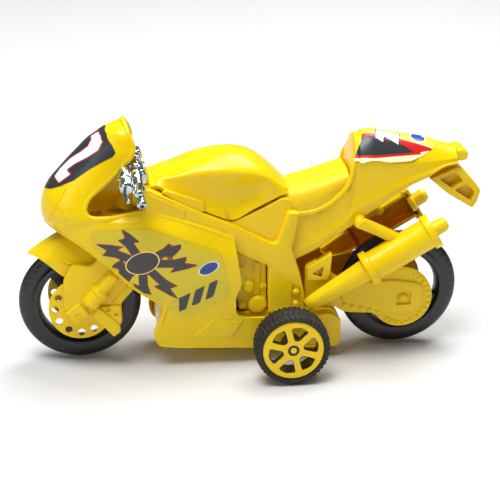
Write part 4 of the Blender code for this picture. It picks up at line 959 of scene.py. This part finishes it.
# ---------------------------------------------------------------- front end

FORK = [(-73.4, 31.5), (-73.4, 21.4), (-68.4, 15.8), (-63, 16.5), (-57, 12.1), (-54.3, 16.1),
    (-54.5, 22.7), (-50, 28), (-48.6, 36), (-51, 48.9), (-59.5, 48.9), (-62.5, 38), (-64.5, 36.3),
    (-70.6, 36.8)]
CALIPER = [(-63, 16.7), (-57, 12.4), (-54.6, 16.2), (-54.8, 22.2), (-62.5, 22.2)]


DISC_HOLES, DISC_HOLE_CIRCLE, DISC_HOLE_RADIUS = 12, 8.4, 1.25


def build_fork(side, word):
    """One fork leg: its shield, axle block, slider tube, caliper and drilled brake disc."""
    body = "steering"
    shield = plate("fork_shield_" + word, FORK, side * 8.4, side * 9.8, body=body, edge=0.35, corner=0.7)
    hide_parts("fork_" + word)
    x, z = FRONT_X - 1.2, FRONT_Z - 0.6
    plate("axle_block_" + word, [(x - 4, z + 0.3), (x - 0.3, z - 4), (x + 4, z - 0.4), (x + 0.4, z + 4)],
        side * 8.6, side * 11.2, body=body, edge=0.4, corner=0.5)
    turned("axle_nut_" + word, [(0, 0), (0.8, 0), (0.9, 0.3), (1.2, 0.3), (1.25, -0.6), (0, -0.6)],
        (x + 0.2, side * 11.25, z - 0.1), body=body, axis=(0, side, 0), steps=32)
    start = (FRONT_X + 3, side * 10.4, FRONT_Z + 3)
    end = (FRONT_X + 17.4, side * 10.4, FRONT_Z + 20.2)
    along = unit(np.subtract(end, start))
    profile = [(0, -1), (2.7, -0.6), (2.9, 0.6), (2.9, 6), (2.6, 6.3), (2.2, 6.6), (2.2, 12.6),
        (1.6, 13.4), (1.6, 21), (0, 21)]
    turned("fork_slider_" + word, fillet(profile, 0.35), start, body=body, axis=along, steps=40)
    turned("fork_collar_" + word, fillet([(0, 0), (3.3, 0), (3.3, 1.6), (0, 1.6)], 0.3),
        tuple(np.asarray(start) + along * 4.4), body=body, axis=along, steps=40)
    plate("caliper_foot_" + word, [(-64.4, 19.4), (-57.3, 11.3), (-55, 13.2), (-55.2, 15.4),
        (-62.4, 22.6)], side * 8.8, side * 11.8, body=body, edge=0.5, corner=0.7)
    caliper = plate("caliper_" + word, CALIPER, side * 8.9, side * 10.9, body=body, edge=0.4, corner=0.6)
    tools = []
    for index, (hole_x, hole_z) in enumerate([(-59, 21), (-56.4, 19.3)]):
        tools.append(button(f"pin_hole{index}{word}", hole_x, hole_z, side * 10.2, side * 13, 0.75,
            body=body, steps=24, edge=CRISP))
    cut_away(caliper, *tools)
    slot = tube("fork_slot" + word, [(-57.4, side * 9.9, 23.4), (-54.8, side * 9.9, 26.4),
        (-52.1, side * 9.9, 29.6)], 0.5, body=body, sides=12, samples=12)
    cut_away(shield, slot)
    disc = turned("disc_" + word, fillet([(4, 0), (10.7, 0), (10.7, 1), (4, 1)], 0.25)[:, :2],
        (FRONT_X, side * 7, FRONT_Z), body=body, axis=(0, side, 0), closed=True, steps=96)
    holes = []
    for index in range(DISC_HOLES):
        at = 2 * math.pi * index / DISC_HOLES
        holes.append(button(f"disc_hole{index}{word}", FRONT_X + DISC_HOLE_CIRCLE * math.cos(at),
            FRONT_Z + DISC_HOLE_CIRCLE * math.sin(at), side * 5, side * 9, DISC_HOLE_RADIUS, body=body,
            steps=24, edge=0.02))
    cut_away(disc, *holes)
    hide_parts("brake_disc_" + word)
    turned("disc_carrier_" + word, fillet([(0.9, 0.1), (4.6, 0.1), (4.6, 0.9), (0.9, 0.9)], 0.2),
        (FRONT_X, side * 7, FRONT_Z), body=body, axis=(0, side, 0), closed=True, steps=60)


def build_front_fender():
    """The front mudguard, a pointed half shell with a fold line along its side."""
    fender = loft("fender_shell", FENDER_SECTIONS, THIN_WALL, None, 60, 40)
    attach(fender, "steering")
    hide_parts("front_fender")
    for side, word in ((-1, "left"), (1, "right")):
        tube("fender_fold_" + word, [(-74, side * 7.35, 38.2), (-70.6, side * 7.75, 36.9),
            (-65, side * 7.9, 36.3), (-59.9, side * 7.6, 35.6)], 0.35, body="steering", sides=10,
            samples=24)


def build_handlebar():
    """Plated cockpit: bar, gauges, switch boxes, reservoirs, grips with domed caps and levers."""
    body = "steering"
    x, z = -48.6, 67.2
    bar = tube("bar_plated", [(x - 0.5, -24, z - 1.2), (x, -12, z), (x, 12, z), (x - 0.5, 24, z - 1.2)],
        1.4, CHROME, body, sides=24, samples=50)
    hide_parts("handlebar")
    plate("dash_plated", [(-51.4, 65), (-51, 69.2), (-49.4, 70.3), (-46.6, 69.2), (-45.6, 66.8),
        (-47, 64.6)], -6.6, 6.6, CHROME, body, edge=0.7, corner=0.8, back_edge=0.7)
    for index, (y, radius) in enumerate([(-3.6, 2.5), (3.2, 3)]):
        lean = unit(np.array([0.75, 0, 0.65]))
        profile = [(0, 0), (radius, 0), (radius, 1.7), (radius - 0.45, 1.9), (radius - 0.5, 1.4), (0, 1.5)]
        turned(f"gauge_{index}", fillet(profile, 0.2), (-48.4, y, 68), CHROME, body, axis=lean, steps=48)
    plate("bridge_plated", [(-50.4, 68.6), (-49, 71.6), (-47.2, 71.2), (-46.9, 68.6)], -2.2, 1.6, CHROME,
        body, edge=0.4, corner=0.5, back_edge=0.4)
    for side, word in ((-1, "left"), (1, "right")):
        lean = unit(np.array([0.06, float(side), -0.36]))
        start = np.array([-49.2, side * 12, 68.3])
        grip = [(0, -1), (1.6, -0.9), (2.1, -0.4), (2.1, 2.4), (1.9, 2.8), (1.9, 7.4), (2.15, 7.8),
            (2.15, 8.8), (1.6, 9.3), (1.5, 14.2), (1.65, 14.4), (1.65, 15.4), (1.2, 15.9), (0, 16)]
        turned("grip_" + word, fillet(grip, 0.25), tuple(start), CHROME, body, axis=lean, steps=48)
        turned("grip_eye_" + word, [(0, 0), (0.75, 0), (0.85, -0.4)], tuple(start + lean * 16.06), BLACK,
            body, axis=lean, steps=24)
        plate("switch_box_" + word, [(-50.9, 64.9), (-50.6, 69.6), (-46.6, 70.2), (-45.6, 68),
            (-45.9, 65.1)], side * 7.4, side * 12.4, CHROME, body, edge=0.6, corner=0.7, back_edge=0.6)
        pot = [(0, 0), (2.5, 0), (2.5, 7.6), (2.1, 8), (2.1, 8.8), (2.5, 9.2), (2.5, 11.4), (1.9, 12.2),
            (0, 12.2)]
        turned("reservoir_" + word, fillet(pot, 0.3), (-52.9, side * 6, 69.6), CHROME, body,
            axis=(0.04, side, -0.4), steps=48)
        tube("lever_" + word, [(-52.4, side * 12, 66.6), (-53.2, side * 14.5, 64.9),
            (-53, side * 18, 63.4), (-52.2, side * 21, 62.4)], 0.75, CHROME, body, sides=14, samples=40)
        for index in range(2):
            button(f"clamp_nut_{index}_{word}", -49.2 + 2.2 * index, 68.7 - 0.3 * index, side * 11.6,
                side * (13.2 - 0.3 * index), 0.8, CHROME, body, steps=24, edge=0.3)
    crown = plate("crown_plate", [(-59.4, 49.3), (-51.2, 49.3), (-50.8, 52.1), (-58.9, 52.1)], -9.6, 9.6,
        body=body, edge=0.4, corner=0.5, back_edge=0.4)
    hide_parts("fork_crown")


# ---------------------------------------------------------------- stickers


def inside(points, polygon):
    """Signed distance from points to a closed outline, positive inside: the least distance to any
    side, signed by how many sides a ray crosses."""
    corner = np.asarray(polygon, float)
    ahead = np.roll(corner, -1, axis=0) - corner
    offset = points[:, None] - corner[None]
    share = np.clip(np.sum(offset * ahead, axis=2) / np.maximum(np.sum(ahead ** 2, axis=1), 1e-12), 0, 1)
    gap = np.linalg.norm(offset - share[..., None] * ahead, axis=2).min(axis=1)
    start, end = corner[None, :, 1], np.roll(corner, -1, axis=0)[None, :, 1]
    crosses = (start > points[:, 1:]) != (end > points[:, 1:])
    rise = np.where(np.abs(end - start) < 1e-12, 1e-12, end - start)
    at = corner[None, :, 0] + (points[:, 1:] - start) / rise * ahead[None, :, 0]
    odd = np.sum(crosses & (points[:, :1] < at), axis=1) % 2 == 1
    return np.where(odd, gap, -gap)


def oval(points, centre, long_axis, short_radius):
    """Signed distance to an ellipse, from the size of the point in the ellipse's own units."""
    long_axis = np.asarray(long_axis, float)
    long_radius = np.linalg.norm(long_axis)
    direction = long_axis / long_radius
    offset = points - np.asarray(centre)
    u = offset @ direction
    v = offset @ np.array([-direction[1], direction[0]])
    size = np.sqrt((u / long_radius) ** 2 + (v / short_radius) ** 2)
    return (1 - size) * np.sqrt(long_radius * short_radius)


def film(name, points, faces, material, inks, centre):
    """A sticker: a surface with one float attribute for each ink, facing away from the centre."""
    mesh = bpy.data.meshes.new(name)
    mesh.from_pydata(to_frame(points).tolist(), [], faces)
    for ink, value in inks.items():
        attribute = mesh.attributes.new(ink, "FLOAT", "POINT")
        attribute.data.foreach_set("value", value.astype(np.float32))
    mesh.materials.append(material)
    mesh.shade_smooth()
    obj = bpy.data.objects.new(name, mesh)
    bpy.context.scene.collection.objects.link(obj)
    outward(obj, centre)
    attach(obj, "body")
    return obj


PANEL_OUTLINE = [(-64.6, 48.4), (-63.6, 50.6), (-46.5, 51.6), (-24.7, 43.1), (-21.8, 41), (-18.9, 28.6),
    (-19.7, 25.8), (-32.7, 19.2), (-35.7, 19.2), (-50.4, 30.3), (-60.2, 40.3)]
BURST_CENTRE = (-47.8, 39.3)
BOLT = [(0, -1.5), (9.4, -1.5), (8.2, -3.4), (13.2, -2.2), (17.6, -0.6), (12.8, 0.2), (13.8, 2.6),
    (9.4, 1.5), (0, 1.5)]
BOLTS = [(158, 0.95), (121, 0.82), (28, 0.9), (-2, 1.08), (-47, 1.02), (-88, 0.88), (-137, 0.62),
    (194, 0.62)]
PANEL_BARS = [[(-36, 26.2), (-32, 28.2), (-33.6, 22), (-35.9, 21)], [(-30.6, 28.9), (-27.4, 30.5),
    (-29, 24.2), (-31.9, 22.8)], [(-26, 31.2), (-23, 32.7), (-24.6, 26.4), (-27.3, 25)]]


def build_panel_sticker(side, word):
    """The side sticker: rings shrunk from its outline to a centre, laid on the fairing along Y."""
    loop = rounded(PANEL_OUTLINE, 1.3, 5)
    fine = []
    for start, end in zip(loop, np.roll(loop, -1, axis=0)):
        fine.append(start[None] + (end - start)[None] * np.linspace(0, 1, 10)[:-1, None])
    loop = np.concatenate(fine)
    centre = np.array([-41.5, 36.5])
    reach = np.linspace(1, 0, 140)[:, None, None]
    flat = (centre + (loop - centre)[None] * reach).reshape(-1, 2)
    points = np.stack([flat[:, 0], np.full(len(flat), side * 24), flat[:, 1]], axis=1)
    bolt_reach = np.full(len(flat), -50)
    edge_reach = np.full(len(flat), -50)
    for angle, size in BOLTS:
        turn = math.radians(angle)
        bolt = np.array(BOLT) * (size, 1)
        shape = np.stack([BURST_CENTRE[0] + bolt[:, 0] * math.cos(turn) - bolt[:, 1] * math.sin(turn),
            BURST_CENTRE[1] + bolt[:, 0] * math.sin(turn) + bolt[:, 1] * math.cos(turn)], axis=1)
        value = inside(flat, shape)
        edge_reach = np.maximum(edge_reach, value)
        bolt_reach = np.maximum(bolt_reach, value - 0.32)
    ring = oval(flat, BURST_CENTRE, (5.35, 2.2), 3.9)
    bars = np.max([inside(flat, bar) for bar in PANEL_BARS], axis=0)
    badge = oval(flat, (-26.2, 36.6), (3.3, 1.7), 2)
    inks = {"edge": np.maximum(edge_reach, ring - 0.25), "bolt": bolt_reach, "ring": ring,
        "dot": ring - 0.36, "bars": bars, "oval_rim": badge, "oval": badge - 0.32}
    sheet = film("panel_sticker_" + word, points, grid_faces(len(reach), len(loop), wrap_columns=True),
        PANEL_FILM, inks, (-40, 0, 36))
    lay = sheet.modifiers.new("lay", "SHRINKWRAP")
    lay.target = bpy.data.objects["fairing_skin"]
    lay.wrap_method = "PROJECT"
    lay.wrap_mode = "ABOVE_SURFACE"
    lay.use_project_y = True
    lay.use_positive_direction = side < 0
    lay.use_negative_direction = side > 0
    lay.offset = FILM_LIFT * MM
    settle(sheet)


def build_screen_sticker():
    """The screen sticker, a patch of the fairing surface over the nose between two row limits."""
    columns, rows = 181, 150
    share = np.linspace(-0.77, 0.77, columns)[None]
    upper = np.interp(np.abs(share), [0, 0.4, 0.77], [0.95, 1.3, 2.3])
    lower = np.interp(np.abs(share), [0, 0.25, 0.44, 0.56, 0.64, 0.77], [5.45, 5.13, 4.68, 4.08, 3.28,
        2.52])
    row = upper + (lower - upper) * np.linspace(0, 1, rows)[:, None]
    share = np.broadcast_to(share, row.shape)
    grid = fairing_surface(row, np.abs(share) + 1e-6)
    grid[..., 1] *= np.where(share > 0, 1, -1)
    grid[:, columns // 2, 1] = 0
    grid = grid + normals_of(grid) * sign_out(grid, (-55, 0, 55)) * 0.15
    flat = np.stack([row.ravel() * 6, np.abs(share).ravel() * 15], axis=1)
    band = [(9, 1.4), (9.8, 4.6), (11.8, 6.8), (14.4, 7.6), (17.4, 6.6), (20.2, 5), (22.6, 4.4),
        (23.2, 6.4), (27.2, 5.4), (26.4, 2), (23.4, 1.4), (19.6, 2), (16.6, 3.6), (14.4, 4.2),
        (12.6, 3.2), (12, 1)]
    value = inside(flat, band)
    inks = {"edge": value + 0.45, "band": value}
    film("screen_sticker", grid.reshape(-1, 3), grid_faces(rows, columns), SCREEN_FILM, inks, (-50, 0, 60))


def sign_out(grid, centre):
    """Plus or minus one: which way a grid's normals must be turned to point away from a centre."""
    away = np.sum(normals_of(grid) * (grid - np.asarray(centre)))
    return 1 if away > 0 else -1


def build_tail_sticker():
    """The tail sticker, a saddle over the tail top, its lower edges lifting a little."""
    rows, columns = 170, 201
    x = np.linspace(22.6, 52, rows)[:, None]
    limit = np.interp(x, [22.6, 24.2, 34, 41.5, 46.5, 49.5, 52], [0.94, 1, 1, 0.95, 0.84, 0.66, 0.3])
    across = np.linspace(-1, 1, columns)[None]
    share = across * limit
    start = np.interp(np.abs(across), [0, 0.5, 1], [4.6, 3.2, 0])
    station = x + start * np.clip((30 - x) / 8, 0, 1)
    grid = tail_surface(station, np.abs(share))
    grid[..., 1] *= np.where(share > 0, 1, -1)
    grid[:, columns // 2, 1] = 0
    lift = 0.13 + 0.5 * np.clip((np.abs(across) - 0.85) / 0.15, 0, 1) ** 2 * (limit > 0.9)
    grid = grid + normals_of(grid) * sign_out(grid, (38, 0, 55)) * lift[..., None]
    flat = np.stack([station.ravel(), grid[..., 2].ravel()], axis=1)
    away = np.abs(grid[..., 1]).ravel()
    over = np.stack([station.ravel(), -away], axis=1)
    dark = [(23.8, -3.2), (40, -5.6), (46.6, -8.2), (44, -10.2), (22, -10.2), (21.6, -8.4)]
    flash = [(23.6, -1.4), (29, -3), (36, -3.2), (50.8, -5.3), (45, -6.6), (47.4, -8.2), (43.6, -10.9),
        (20, -10.9), (21, -8.8), (23, -3.4), (25, -4.2), (24, -2.6)]
    cream = inside(over, [(22.9, -1.2), (26, -3.4), (36, -3.4), (53.4, -5), (50, -12), (20, -12)])
    block = [(31.2, -0.6), (38.8, -1.4), (37.8, -5.6), (33.2, -3.6), (32.6, -5.6), (30.2, -4.6)]
    base = inside(flat, [(10, 60), (60, 60), (60, 70.2), (10, 70.2)])
    badge = oval(over, (45.2, -1.6), (2.6, -0.4), 2.3)
    dark_reach = np.minimum(inside(over, dark), -base - 0.7)
    flash_reach = np.minimum(inside(over, flash), -base)
    inks = {"cream": cream, "flash": flash_reach, "dark": dark_reach, "block_edge": inside(over,
        block) + 0.32, "block": inside(over, block), "oval_rim": badge, "oval": badge - 0.3}
    film("tail_sticker", grid.reshape(-1, 3), grid_faces(rows, columns), TAIL_FILM, inks, (38, 0, 60))


# ---------------------------------------------------------------- build


build_fairing()
build_shells()
for side, word in ((-1, "left"), (1, "right")):
    build_frame(side, word)
    build_engine(side, word)
    build_swingarm(side, word)
    build_exhaust(side, word)
    build_fork(side, word)
    build_drive_wheel(side, word)
    build_panel_sticker(side, word)
    # painted shade on the faces of the side plates that look at the centre plane
    for inner_face in ("spar_", "spar_infill_", "tub_wall_", "swingarm_plate_", "arm_root_"):
        amber_inside(inner_face + word, side)
build_mudguard()
build_front_fender()
build_handlebar()
build_wheel("front", "front_wheel", FRONT_X, FRONT_Z, 10)
build_wheel("rear", "rear_wheel", REAR_X, REAR_Z, 100)
build_screen_sticker()
build_tail_sticker()

NODE_FINISH = {"drive_axle": STEEL, "front_axle": STEEL, "rear_axle": STEEL, "mainspring": STEEL,
    "screw_front": STEEL, "screw_rear": STEEL, "screw_top": STEEL, "idler_pin": STEEL,
    "barrel_arbor": STEEL, "axle_pinion": NYLON, "idler_gear": NYLON, "barrel_gear": NYLON,
    "motor_plate_left": CASE, "motor_plate_right": CASE, "headstock": YELLOW}
for node, material in NODE_FINISH.items():
    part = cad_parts[node]
    part.data.materials.clear()
    part.data.materials.append(material)
